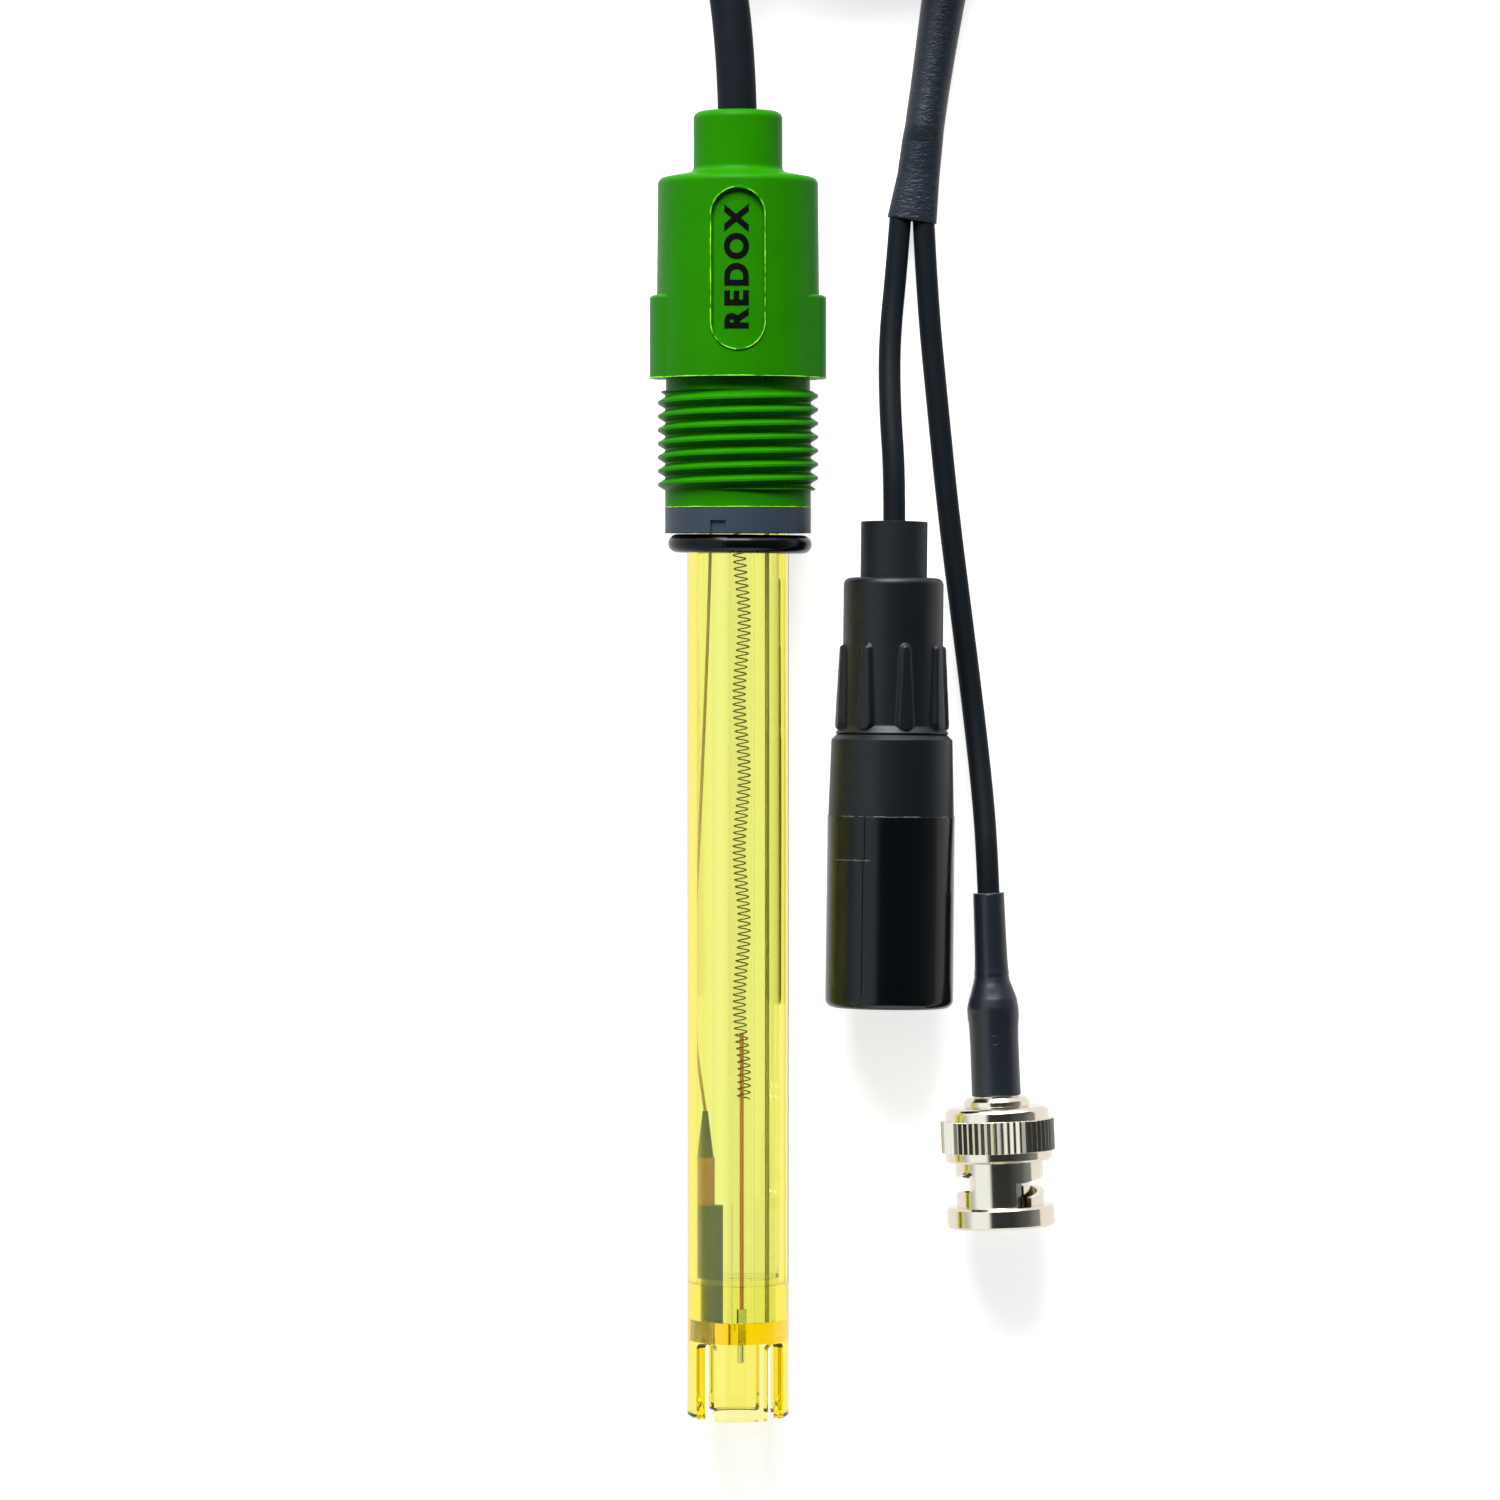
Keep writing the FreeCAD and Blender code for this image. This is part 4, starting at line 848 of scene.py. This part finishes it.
    def wound_wire(self) -> None:
        """The fine wire in the stem, a true helix that snakes a little."""
        turns = self.coil_length / self.coil_pitch
        steps = self.wire_steps
        points: list[Vector] = []
        for number in range(int(turns * steps) + 1):
            along = self.coil_top - number * self.coil_pitch / steps
            angle = 2 * math.pi * number / steps
            sway = self.snake * math.cos(2 * math.pi * (along - self.snake_crest) / self.snake_period)
            across = self.stem_place + sway + self.coil_radius * math.cos(angle)
            points.append(self.at(along, across, self.coil_radius * math.sin(angle)))
        wire = bead("wound_wire", points, self.wire_radius, WOUND_WIRE, Body.ELECTRODE)
        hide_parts("coiled_lead")

    def recess_flash(self) -> None:
        """The thin, uneven flash on the label recess's rim."""
        radius = self.recess_width / 2 + self.rim_width / 2
        low = self.recess_foot + self.recess_width / 2
        high = self.recess_foot + self.recess_length - self.recess_width / 2
        outline: list[tuple[float, float]] = []
        for degrees in range(0, 181, 5):
            angle = math.radians(degrees)
            outline.append((radius * math.cos(angle), high + radius * math.sin(angle)))
        outline += [(-radius, high - step) for step in self.steps_between(low, high)]
        for degrees in range(180, 361, 5):
            angle = math.radians(degrees)
            outline.append((radius * math.cos(angle), low + radius * math.sin(angle)))
        outline += [(radius, low + step) for step in self.steps_between(low, high)]
        points: list[Vector] = []
        for number, (across, along) in enumerate(outline):
            stray = self.flash_stray * noise.noise(Vector((0.9 * number, 0.3, 7.1)))
            # It sinks a little where it crosses the crest, so that it stays within the height of the solid.
            sunk = self.flash_sunk + self.flash_sunk_at_crest * max(0.0, 1 - abs(across) / self.flash_crest)
            surface = self.barrel_radius(along) + self.rim_height - sunk
            up = math.sqrt(surface**2 - across**2)
            points.append(self.at(along, across * (1 + stray / radius), up))
        self.flash("recess_flash", points, self.recess_line)

    def steps_between(self, low: float, high: float) -> list[float]:
        """Equal distances between two heights, without the ends."""
        count = int((high - low) / self.flash_step)
        return [(high - low) * number / count for number in range(1, count)]

    def flash(self, name: str, points: Sequence[Vector], line: tuple[float, float]) -> None:
        """A closed line of mould flash.

        Args:
            name: The piece's name.
            points: The line's points.
            line: Half its thickness and how much that varies.
        """
        radius, ragged = line
        # The line's pale colour is painted light: a glow through the thin flash and a highlight on its edge.
        flash = bead(name, points, radius, FLASH_WITH_PAINTED_LIGHT, Body.ELECTRODE, ragged=ragged, closed=True)

    def ring(self, along: float, reach: Callable[[float], float]) -> list[Vector]:
        """Points round the axis at one height.

        Args:
            along: The height.
            reach: Gives the radius at an angle.

        Returns:
            The points in metres.
        """
        points: list[Vector] = []
        for angle in round_angles(self.ring_points):
            radius = reach(angle)
            points.append(self.at(along, radius * math.cos(angle), radius * math.sin(angle)))
        return points

    def foot_flash(self) -> None:
        """The thin flash round the barrel's foot and its lugs."""

        def reach(angle: float) -> float:
            """Just inside the edge of the barrel or of a lug, whichever stands out further."""
            oval = 1 / math.hypot(math.cos(angle) / self.lug_reach, math.sin(angle) / self.lug_breadth)
            return max(oval, self.foot_radius) - self.foot_line_inset

        along = self.barrel_foot + self.foot_line_lift
        self.flash("foot_flash", self.ring(along, reach), self.foot_line)

    def land_flash(self) -> None:
        """The thin flash at the foot of the land, over the ring."""
        self.flash("land_flash", self.ring(self.land_foot, lambda angle: self.land_radius), self.land_line)

    def marking(self) -> None:
        """The generic word on the floor of the label recess, reading from the thread to the nose."""
        words = bpy.data.curves.new("label_marking", "FONT")
        words.body = self.label
        words.align_x = "CENTER"
        words.align_y = "CENTER"
        words.size = self.label_size * MM
        words.offset = self.label_weight * MM
        words.space_character = self.label_spacing
        words.extrude = self.ink_depth * MM
        shape = baked("label_marking_text", words)
        bmesh.ops.triangulate(shape, faces=shape.faces)
        bmesh.ops.subdivide_edges(shape, edges=shape.edges, cuts=1)
        middle = self.recess_foot + self.recess_length / 2
        for vertex in shape.verts:
            along = vertex.co.x / MM + middle
            across = -vertex.co.y / MM
            floor = self.barrel_radius(along) - self.recess_depth
            up = math.sqrt(floor**2 - across**2) + vertex.co.z / MM + self.ink_lift
            vertex.co = self.at(along, across, up)
        marking = to_object("label_marking", shape, LABEL_INK, Body.ELECTRODE, smooth=False)


@dataclass
class Axis:
    """The line that a laid plug is turned about, from its far end to its lead."""

    end: tuple[float, float]
    top: tuple[float, float]
    height: float

    @property
    def ahead(self) -> Vector:
        """The unit direction from the far end to the lead."""
        return Vector((self.top[0] - self.end[0], self.top[1] - self.end[1], 0.0)).normalized()

    def at(self, along: float, radius: float, angle: float) -> Vector:
        """A point round the line.

        Args:
            along: Distance from the far end in millimetres.
            radius: Distance from the line in millimetres.
            angle: Turn from the right-hand side up, in radians.

        Returns:
            The point in metres.
        """
        ahead = self.ahead
        right = Vector((ahead.y, -ahead.x, 0.0))
        place = Vector((self.end[0], self.end[1], self.height)) + ahead * along
        place += right * radius * math.cos(angle)
        place.z += radius * math.sin(angle)
        return place * MM


def along_profile(profile: Sequence[tuple[float, float]], share: float) -> tuple[float, float]:
    """Where a share of a profile's length lies, between its points.

    Args:
        profile: Points of distance along and radius.
        share: How far along, from 0 to 1.

    Returns:
        The distance along and the radius there.
    """
    runs = [math.dist(first, last) for first, last in zip(profile, profile[1:])]
    left = share * sum(runs)
    for (first, last), run in zip(zip(profile, profile[1:]), runs):
        if left <= run:
            blend = left / run
            return first[0] + (last[0] - first[0]) * blend, first[1] + (last[1] - first[1]) * blend
        left -= run
    return profile[-1]


def smooth_step(value: float) -> float:
    """Rise softly from 0 to 1."""
    value = min(max(value, 0.0), 1.0)
    return value * value * (3 - 2 * value)


@dataclass
class RoundConnector:
    """The capped multi-pin connector: cap, shell, barrel, gland nut and boot.

    Its sizes are in millimetres, and its places are distances from the cap's closed end.
    """

    axis: Axis = field(default_factory=lambda: Axis((20.17, -32.3), (20.88, 32.3), 8.55))
    cap_length: float = 25.6
    cap_end_radius: float = 8.55
    cap_mouth_radius: float = 8.5
    nut_foot: float = 36.6
    nut_shoulder: float = 48.6
    nut_top: float = 57.4
    nut_foot_radius: float = 6.95
    nut_neck_radius: float = 6.68
    nut_bore: float = 5.6
    nut_round: float = 0.9
    nut_inside: float = 3.0
    nut_grid: tuple[int, int] = (170, 256)
    boot_radius: float = 4.45
    rib_count: int = 8
    rib_turn: float = 13.0
    rib_foot_half: float = 1.4
    rib_top_half: float = 0.8
    rib_foot_height: float = 0.8
    rib_top_height: float = 0.55
    rib_foot_gap: float = 0.2
    rib_flank: float = 0.45
    flare_top: float = 37.6
    flare_radius: float = 7.6
    flare_sunk: float = 0.02
    flare_edge: tuple[float, float] = (0.04, 0.03)
    rib_margin: float = 0.01
    line_radius: float = 0.07
    line_sunk: float = 0.02
    seam_points: int = 90
    seam_start: float = 1.6
    seam_end: float = 25.5
    seam_break: float = 19.8
    seam_angles: tuple[float, float] = (117.0, 115.6)
    scuff_points: int = 220
    scuff_stray: float = 0.05
    scuff_inset: float = 0.05
    scuff_sunk: float = 0.07
    mark_points: int = 70
    mark_along: float = 19.75
    mark_stray: float = 0.16
    mark_angles: tuple[float, float] = (150.0, 110.0)
    finishes: dict[str, Finish] = field(
        default_factory=lambda: {
            "connector_cap": CAP_MOULDING,
            "connector_shell": NICKEL,
            "connector_insert": DARK_INSULATOR,
            "connector_pins": GOLD_CONTACT,
            "connector_barrel": BLACK_MOULDING,
            "cable_boot": BOOT_RUBBER,
        }
    )

    def build(self, frame: dict[str, Any]) -> list[bpy.types.Object]:
        """Dress the connector's nodes and make its nut and the cap's fine lines.

        Args:
            frame: The loaded frame.

        Returns:
            The nut, which is on the lead.
        """
        dress(frame, self.finishes)
        self.cap_seam()
        self.mouth_scuff()
        self.ragged_mark()
        return [self.nut()]

    def cap_radius(self, along: float) -> float:
        """The cap's radius at a distance from its closed end."""
        share = along / self.cap_length
        return self.cap_end_radius + (self.cap_mouth_radius - self.cap_end_radius) * share

    def nut(self) -> bpy.types.Object:
        """The gland nut: a rounded neck and a skirt with eight soft ribs.

        Returns:
            The nut.
        """
        edge_lift, edge_inset = self.flare_edge
        profile = [(self.nut_top - self.nut_inside, self.boot_radius), (self.nut_top, self.boot_radius)]
        for degrees in range(90, -1, -15):
            angle = math.radians(degrees)
            along = self.nut_top - self.nut_round * (1 - math.sin(angle))
            profile.append((along, self.nut_neck_radius - self.nut_round * (1 - math.cos(angle))))
        profile += [
            (self.nut_shoulder, self.nut_neck_radius),
            (self.flare_top, self.nut_foot_radius - self.flare_sunk),
            (self.nut_foot + edge_lift, self.flare_radius),
            (self.nut_foot, self.flare_radius - edge_inset),
            (self.nut_foot, self.nut_bore),
        ]

        def shape(share: float, angle: float) -> Vector:
            """A point on the nut.

            Args:
                share: How far along its profile, from 0 to 1.
                angle: The angle round it.

            Returns:
                The point in metres.
            """
            along, radius = along_profile(profile, share)
            if radius > self.nut_neck_radius - self.rib_margin:
                radius = max(radius, self.rib_reach(along, angle))
            return self.axis.at(along, radius, angle)

        nut = to_object("ribbed_gland_nut", wrapped(*self.nut_grid, shape), BLACK_MOULDING, Body.ELECTRODE)
        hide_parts("gland_nut")
        return nut

    def rib_reach(self, along: float, angle: float) -> float:
        """The radius that the nearest rib reaches at a place on the nut.

        Args:
            along: Distance from the cap's closed end.
            angle: Turn from the right-hand side up, in radians.

        Returns:
            The radius in millimetres.
        """
        up = (along - self.nut_foot) / (self.nut_shoulder - self.nut_foot)
        skirt = self.nut_foot_radius + (self.nut_neck_radius - self.nut_foot_radius) * up
        spacing = 2 * math.pi / self.rib_count
        first = math.radians(90 - self.rib_turn)
        aside = ((angle - first + spacing / 2) % spacing - spacing / 2) * skirt
        half = self.rib_foot_half + (self.rib_top_half - self.rib_foot_half) * up
        above = along - (self.nut_shoulder - self.rib_top_half)
        below = self.nut_foot + self.rib_foot_gap + self.rib_foot_half - along
        reach = half - math.hypot(aside, max(above, below, 0.0))
        height = self.rib_foot_height + (self.rib_top_height - self.rib_foot_height) * up
        return skirt + height * smooth_step(reach / self.rib_flank)

    def line(
        self, name: str, points: Sequence[Vector], finish: Finish, ragged: float, closed: bool = False
    ) -> None:
        """A fine line on the cap.

        Args:
            name: The piece's name.
            points: The line's points.
            finish: Its finish.
            ragged: How much its thickness varies.
            closed: Whether it is a ring.
        """
        line = bead(name, points, self.line_radius, finish, Body.CAP, ragged=ragged, closed=closed)

    def on_cap(self, along: float, angle: float) -> Vector:
        """A place for a fine line, just under the cap's surface."""
        return self.axis.at(along, self.cap_radius(along) - self.line_sunk, angle)

    def cap_seam(self) -> None:
        """The cap's parting line, with a small step at the ragged mark."""
        points: list[Vector] = []
        for number in range(self.seam_points):
            share = number / (self.seam_points - 1)
            along = self.seam_start + (self.seam_end - self.seam_start) * share
            angle = math.radians(self.seam_angles[along >= self.seam_break])
            points.append(self.on_cap(along, angle))
        self.line("cap_seam", points, LABEL_INK, 0.3)

    def mouth_scuff(self) -> None:
        """The scuffed edge of the cap's mouth."""
        points: list[Vector] = []
        for number, angle in enumerate(round_angles(self.scuff_points)):
            stray = self.scuff_stray * noise.noise(Vector((0.8 * number, 4.0, 0.2)))
            along = self.cap_length - self.scuff_inset + stray
            points.append(self.axis.at(along, self.cap_mouth_radius - self.scuff_sunk, angle))
        self.line("cap_mouth_scuff", points, SCUFF_AND_PAINTED_HIGHLIGHT, 1.0, closed=True)

    def ragged_mark(self) -> None:
        """The short ragged line across the cap, left of its parting line's middle."""
        points: list[Vector] = []
        first, last = self.mark_angles
        for number in range(self.mark_points):
            angle = math.radians(first + (last - first) * number / (self.mark_points - 1))
            along = self.mark_along + self.mark_stray * noise.noise(Vector((0.7 * number, 9.0, 2.2)))
            points.append(self.on_cap(along, angle))
        self.line("cap_mark", points, SCUFF_AND_PAINTED_HIGHLIGHT, 1.2)


@dataclass
class BayonetPlug:
    """The coax bayonet plug: coupling, body, insulator, contact and boot.

    Its sizes are in millimetres. The boot's profile is stops of distance from the plug's mouth and radius.
    """

    axis: Axis = field(default_factory=lambda: Axis((35.23, -61.55), (33.51, -17.0), 7.6))
    boot_profile: Stops = (
        (17.46, 2.9), (17.46, 3.2), (17.6, 3.28), (21.0, 3.25), (24.5, 3.24), (26.6, 3.3), (28.0, 3.42),
        (29.2, 3.42), (30.4, 3.22), (31.6, 2.82), (32.6, 2.48), (33.4, 2.3), (33.9, 2.32), (34.5, 2.24),
        (36.0, 2.18), (40.0, 2.12), (44.2, 2.08), (44.5, 2.05), (44.58, 1.9), (44.58, 1.53),
    )  # fmt: skip
    boot_grid: tuple[int, int] = (150, 72)
    swell: float = 0.09
    swell_start: float = 24.0
    swell_rise: float = 5.0
    swell_end: float = 36.0
    swell_fall: float = 4.0
    lip_along: float = 44.53
    lip_radius: float = 2.04
    mark_along: float = 25.0
    mark_radius: float = 0.62
    mark_height: float = 3.24
    finishes: dict[str, Finish] = field(
        default_factory=lambda: {
            "coax_coupling": NICKEL,
            "coax_body": NICKEL,
            "coax_insulator": WHITE_INSULATOR,
            "coax_pin": GOLD_CONTACT,
            "coax_gasket": GASKET,
            "coax_washer": SPRING,
            "coax_ferrule": NICKEL,
        }
    )

    def build(self, frame: dict[str, Any]) -> list[bpy.types.Object]:
        """Dress the plug's nodes and make its boot.

        Args:
            frame: The loaded frame.

        Returns:
            The pieces made here.
        """
        dress(frame, self.finishes)
        return [self.boot(), self.boot_ring(), self.boot_lip()]

    def boot(self) -> bpy.types.Object:
        """The heat-shrink boot, drawn tight over the ferrule and soft past its end.

        Returns:
            The boot.
        """

        def shape(share: float, angle: float) -> Vector:
            """A point on the boot.

            Args:
                share: How far along its profile, from 0 to 1.
                angle: The angle round it.

            Returns:
                The point in metres.
            """
            along, radius = along_profile(self.boot_profile, share)
            soft = smooth_step((along - self.swell_start) / self.swell_rise)
            soft *= smooth_step((self.swell_end - along) / self.swell_fall)
            stray = noise.noise(Vector((2 * math.cos(angle), 2 * math.sin(angle), along * 0.5)))
            return self.axis.at(along, radius + self.swell * soft * stray, angle)

        boot = to_object("coax_shrink_boot", wrapped(*self.boot_grid, shape), TIGHT_SHRINK, Body.ELECTRODE)
        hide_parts("coax_boot")
        return boot

    def boot_lip(self) -> bpy.types.Object:
        """The boot's cut top edge, drawn paler as a painted highlight.

        Returns:
            The line along that edge.
        """
        points = [self.axis.at(self.lip_along, self.lip_radius, angle) for angle in round_angles(60)]
        # The paler line is a painted highlight on the edge that faces the light.
        lip = bead("boot_lip", points, 0.07, SCUFF_AND_PAINTED_HIGHLIGHT, Body.ELECTRODE, ragged=0.5, closed=True)
        return lip

    def boot_ring(self) -> bpy.types.Object:
        """The small round mark on the boot.

        Returns:
            The mark.
        """
        points: list[Vector] = []
        for turn in round_angles(24):
            along = self.mark_along + self.mark_radius * math.sin(turn)
            angle = math.radians(90) - self.mark_radius * math.cos(turn) / self.mark_height
            points.append(self.axis.at(along, self.mark_height, angle))
        ring = bead("boot_ring", points, 0.06, TIGHT_SHRINK, Body.ELECTRODE, closed=True)
        return ring


@dataclass
class Lead:
    """The lead: coiled main cable, split sleeve and two branches.

    Its sizes are in millimetres and its angles in degrees. The slots are the column and the layer of each
    turn of the coil, in the order in which they are wound. A section of the sleeve is its centre, half its
    width and half its height.
    """

    cable_radius: float = 2.6
    branch_radius: float = 1.48
    coil_centre: tuple[float, float] = (12.9, 152.8)
    coil_middle: float = 27.5
    entry_angle: float = 215.0
    coil_degrees: float = 5655.0
    turns_across: int = 4
    steps_per_turn: int = 24
    crossing: float = 0.16
    tie_width: float = 3.6
    tie_thickness: float = 0.9
    tie_angles: tuple[float, float] = (20.0, 160.0)
    tie_grid: tuple[int, int] = (96, 16)
    tie_square: float = 0.4
    tie_lift: float = 0.01
    tie_corner: float = math.radians(40)
    lock_height: float = 2.6
    lock_sunk: float = 0.1
    lock_margin: float = 1.2
    lock_length: float = 4.6
    lock_rise: float = 4.0
    sleeve_grid: tuple[int, int] = (160, 48)
    sleeve_wall: float = 0.35
    sleeve_lift: float = 0.02
    sleeve_reach: float = 0.08
    slots: tuple[tuple[int, int], ...] = (
        (3, 1), (3, 2), (3, 3), (2, 3), (2, 2), (2, 1), (1, 1), (1, 2),
        (1, 3), (0, 3), (0, 2), (0, 1), (0, 0), (1, 0), (2, 0), (3, 0),
    )  # fmt: skip
    start_route: tuple[Point, ...] = (
        (0.0, 80.99, 12.029),
        (0.0, 92.984, 12.403),
        (-2.3, 110.6, 11.3),
        (-8.0, 121.1, 9.2),
    )
    end_route: tuple[Point, ...] = ((33.5, 122.5, 2.62), (29.7, 114.3, 2.7), (28.08, 105.5, 2.95))
    branch_a: tuple[Point, ...] = (
        (21.94, 74.6, 1.8),
        (21.3, 66.5, 1.78),
        (20.35, 57.2, 3.0),
        (20.35, 48.0, 5.9),
        (20.946, 38.5, 8.55),
        (20.851, 29.646, 8.55),
    )
    branch_b: tuple[Point, ...] = (
        (24.93, 74.6, 1.8),
        (25.5, 63.0, 1.6),
        (26.9, 48.5, 1.55),
        (28.3, 34.5, 1.54),
        (30.15, 20.0, 1.6),
        (31.75, 7.0, 2.3),
        (32.95, -5.0, 5.2),
        (33.36, -13.0, 7.6),
        (33.624, -19.948, 7.6),
    )
    sleeve_sections: tuple[tuple[Point, float, float], ...] = (
        ((28.26, 106.47, 2.95), 3.0, 2.95),
        ((27.45, 102.0, 2.93), 2.9, 2.9),
        ((26.64, 96.64, 2.85), 2.75, 2.75),
        ((25.8, 91.0, 2.75), 2.65, 2.65),
        ((25.1, 86.0, 2.7), 2.65, 2.65),
        ((24.85, 84.2, 2.3), 2.75, 2.25),
        ((24.31, 79.62, 2.0), 2.85, 1.95),
        ((23.43, 73.5, 1.85), 3.35, 1.85),
    )

    def build(
        self, frame: dict[str, Any], connector: list[bpy.types.Object], plug: list[bpy.types.Object]
    ) -> None:
        """Args:
            frame: The loaded frame.
            connector: The pieces made for the round connector.
            plug: The pieces made for the bayonet plug.
        """
        first, last = self.tie_angles
        pieces = [self.sleeve(), self.tie("coil_tie_a", first), self.tie("coil_tie_b", last)]
        self.main_cable(pieces)
        self.branches(frame, connector, plug)

    def tie(self, name: str, degrees: float) -> bpy.types.Object:
        """A flat tie pulled tight round the coil's turns, with its lock inside the ring.

        Args:
            name: The piece's name.
            degrees: Where it stands round the coil.

        Returns:
            The tie.
        """
        angle = math.radians(degrees)
        out = Vector((math.cos(angle), math.sin(angle), 0.0))
        aside = Vector((-out.y, out.x, 0.0))
        corner = self.cable_radius
        half = self.turns_across * self.cable_radius
        flat = half - corner
        middle = Vector((*self.coil_centre, 0.0)) + out * self.coil_middle
        middle.z = half

        def shape(share: float, turn: float) -> Vector:
            """A point on the strap.

            Args:
                share: How far along it, from 0 to 1.
                turn: The angle round its own section.

            Returns:
                The point in metres.
            """
            walk = 2 * math.pi * share
            around = Vector((math.cos(walk), math.sin(walk)))
            square = around * flat / max(abs(around.x), abs(around.y))
            thick = 0.5 + 0.5 * math.copysign(abs(math.sin(turn)) ** self.tie_square, math.sin(turn))
            reach = corner + thick * self.tie_thickness
            place = middle + out * (square.x + reach * around.x)
            place.z = max(middle.z + square.y + reach * around.y, self.tie_lift)
            wide = math.copysign(abs(math.cos(turn)) ** self.tie_square, math.cos(turn))
            return (place + aside * self.tie_width / 2 * wide) * MM

        strap = wrapped(*self.tie_grid, shape)
        lock = bmesh.ops.create_cube(strap, size=1.0)
        for vertex in lock["verts"]:
            over, wide, high = vertex.co
            inward = half + self.tie_thickness + self.lock_height * (0.5 - self.lock_sunk + over)
            place = middle - out * inward
            place += aside * wide * (self.tie_width + self.lock_margin)
            place.z = middle.z + self.lock_rise + high * self.lock_length
            vertex.co = place * MM
        tie = to_object(name, strap, TIE_NYLON, Body.ELECTRODE, smooth=False)
        smooth_round(tie, self.tie_corner)
        return tie

    def coil_points(self) -> list[Point]:
        """Control points of the coiled turns, from the entry to the exit.

        Returns:
            The points in millimetres.
        """
        step = 360 / self.steps_per_turn
        count = int(self.coil_degrees / step)
        points: list[Point] = []
        for number in range(count + 1):
            turned = self.coil_degrees if number == count else number * step
            turn = turned / 360
            slot = min(int(turn), len(self.slots) - 1)
            after = min(slot + 1, len(self.slots) - 1)
            blend = smooth_step((turn - slot - 1 + self.crossing) / self.crossing)
            column = self.slots[slot][0] * (1 - blend) + self.slots[after][0] * blend
            row = self.slots[slot][1] * (1 - blend) + self.slots[after][1] * blend
            radius = self.coil_middle + (column - (self.turns_across - 1) / 2) * 2 * self.cable_radius
            angle = math.radians(self.entry_angle - turned)
            across = self.coil_centre[0] + radius * math.cos(angle)
            along = self.coil_centre[1] + radius * math.sin(angle)
            points.append((across, along, self.cable_radius * (1 + 2 * row)))
        return points

    def main_cable(self, pieces: list[bpy.types.Object]) -> None:
        """The main cable: out of the nose, round its coil and into the sleeve.

        Args:
            pieces: The pieces that are on it. Not used.
        """
        points = list(self.start_route) + self.coil_points() + list(self.end_route)
        cable = cord_curve("main_cable", points, self.cable_radius, JACKET)
        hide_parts("main_cable_start", "cable_coil", "main_cable_end")

    def branches(
        self, frame: dict[str, Any], connector: list[bpy.types.Object], plug: list[bpy.types.Object]
    ) -> None:
        """The two thin leads, from the sleeve to their plugs.

        Args:
            frame: The loaded frame.
            connector: The pieces made for the round connector.
            plug: The pieces made for the bayonet plug.
        """
        on_a = [frame["nodes"][node] for node in RoundConnector().finishes] + connector
        on_b = [frame["nodes"][node] for node in BayonetPlug().finishes] + plug
        plugs = (
            ("branch_a", "branch_cable_a", self.branch_a, 0.046, "connector", on_a),
            ("branch_b", "branch_cable_b", self.branch_b, 0.0955, "plug", on_b),
        )
        for name, node, route, length, far_end, on_it in plugs:
            branch = cord_curve(name, route, self.branch_radius, JACKET)
            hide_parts(node)
            tuple(part * MM for part in route[0])
            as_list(on_it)

    def section_at(self, along: float) -> tuple[Vector, float, float]:
        """The sleeve's section at a share of its length.

        Args:
            along: The share, from 0 to 1.

        Returns:
            The centre, half the width and half the height there.
        """
        place = along * (len(self.sleeve_sections) - 1)
        first = min(int(place), len(self.sleeve_sections) - 2)
        blend = place - first
        here, there = self.sleeve_sections[first], self.sleeve_sections[first + 1]
        centre = Vector(here[0]).lerp(Vector(there[0]), blend)
        width = here[1] * (1 - blend) + there[1] * blend
        height = here[2] * (1 - blend) + there[2] * blend
        return centre, width, height

    def sleeve(self) -> bpy.types.Object:
        """The heat-shrink sleeve over the split, with fine wrinkles.

        Returns:
            The sleeve.
        """

        def shape(along: float, angle: float) -> Vector:
            """A point on the sleeve.

            Args:
                along: How far along it, from 0 to 1.
                angle: The angle round it.

            Returns:
                The point in metres.
            """
            centre, width, height = self.section_at(along)
            before = self.section_at(max(along - self.sleeve_reach, 0))[0]
            after = self.section_at(min(along + self.sleeve_reach, 1))[0]
            ahead = (after - before).normalized()
            across = ahead.cross(Vector((0, 0, 1))).normalized()
            rise = across.cross(ahead)
            place = centre + across * width * math.cos(angle) + rise * height * math.sin(angle)
            place.z = max(place.z, self.sleeve_lift)
            return place * MM

        shell = wrapped(*self.sleeve_grid, shape)
        sleeve = to_object("heat_shrink_sleeve", shell, SHRINK, Body.ELECTRODE)
        wall = sleeve.modifiers.new("wall", "SOLIDIFY")
        wall.thickness = self.sleeve_wall * MM
        wall.offset = -1.0
        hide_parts("split_sleeve")
        return sleeve


def main() -> None:
    """Load the frame, build everything round it and report each piece."""
    logging.basicConfig(level=logging.INFO, format="%(message)s")
    scene = bpy.context.scene
    scene.view_settings.view_transform = "Standard"
    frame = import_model()
    Studio().build()
    connector = RoundConnector().build(frame)
    plug = BayonetPlug().build(frame)
    Lead().build(frame, connector, plug)
    Electrode().build(frame)
    for piece in scene.objects:
        finishes = [finish.name for finish in getattr(piece.data, "materials", ()) if finish]
        if finishes:
            LOG.info("%s: %s", piece.name, ", ".join(finishes))


if __name__ == "__main__":
    main()
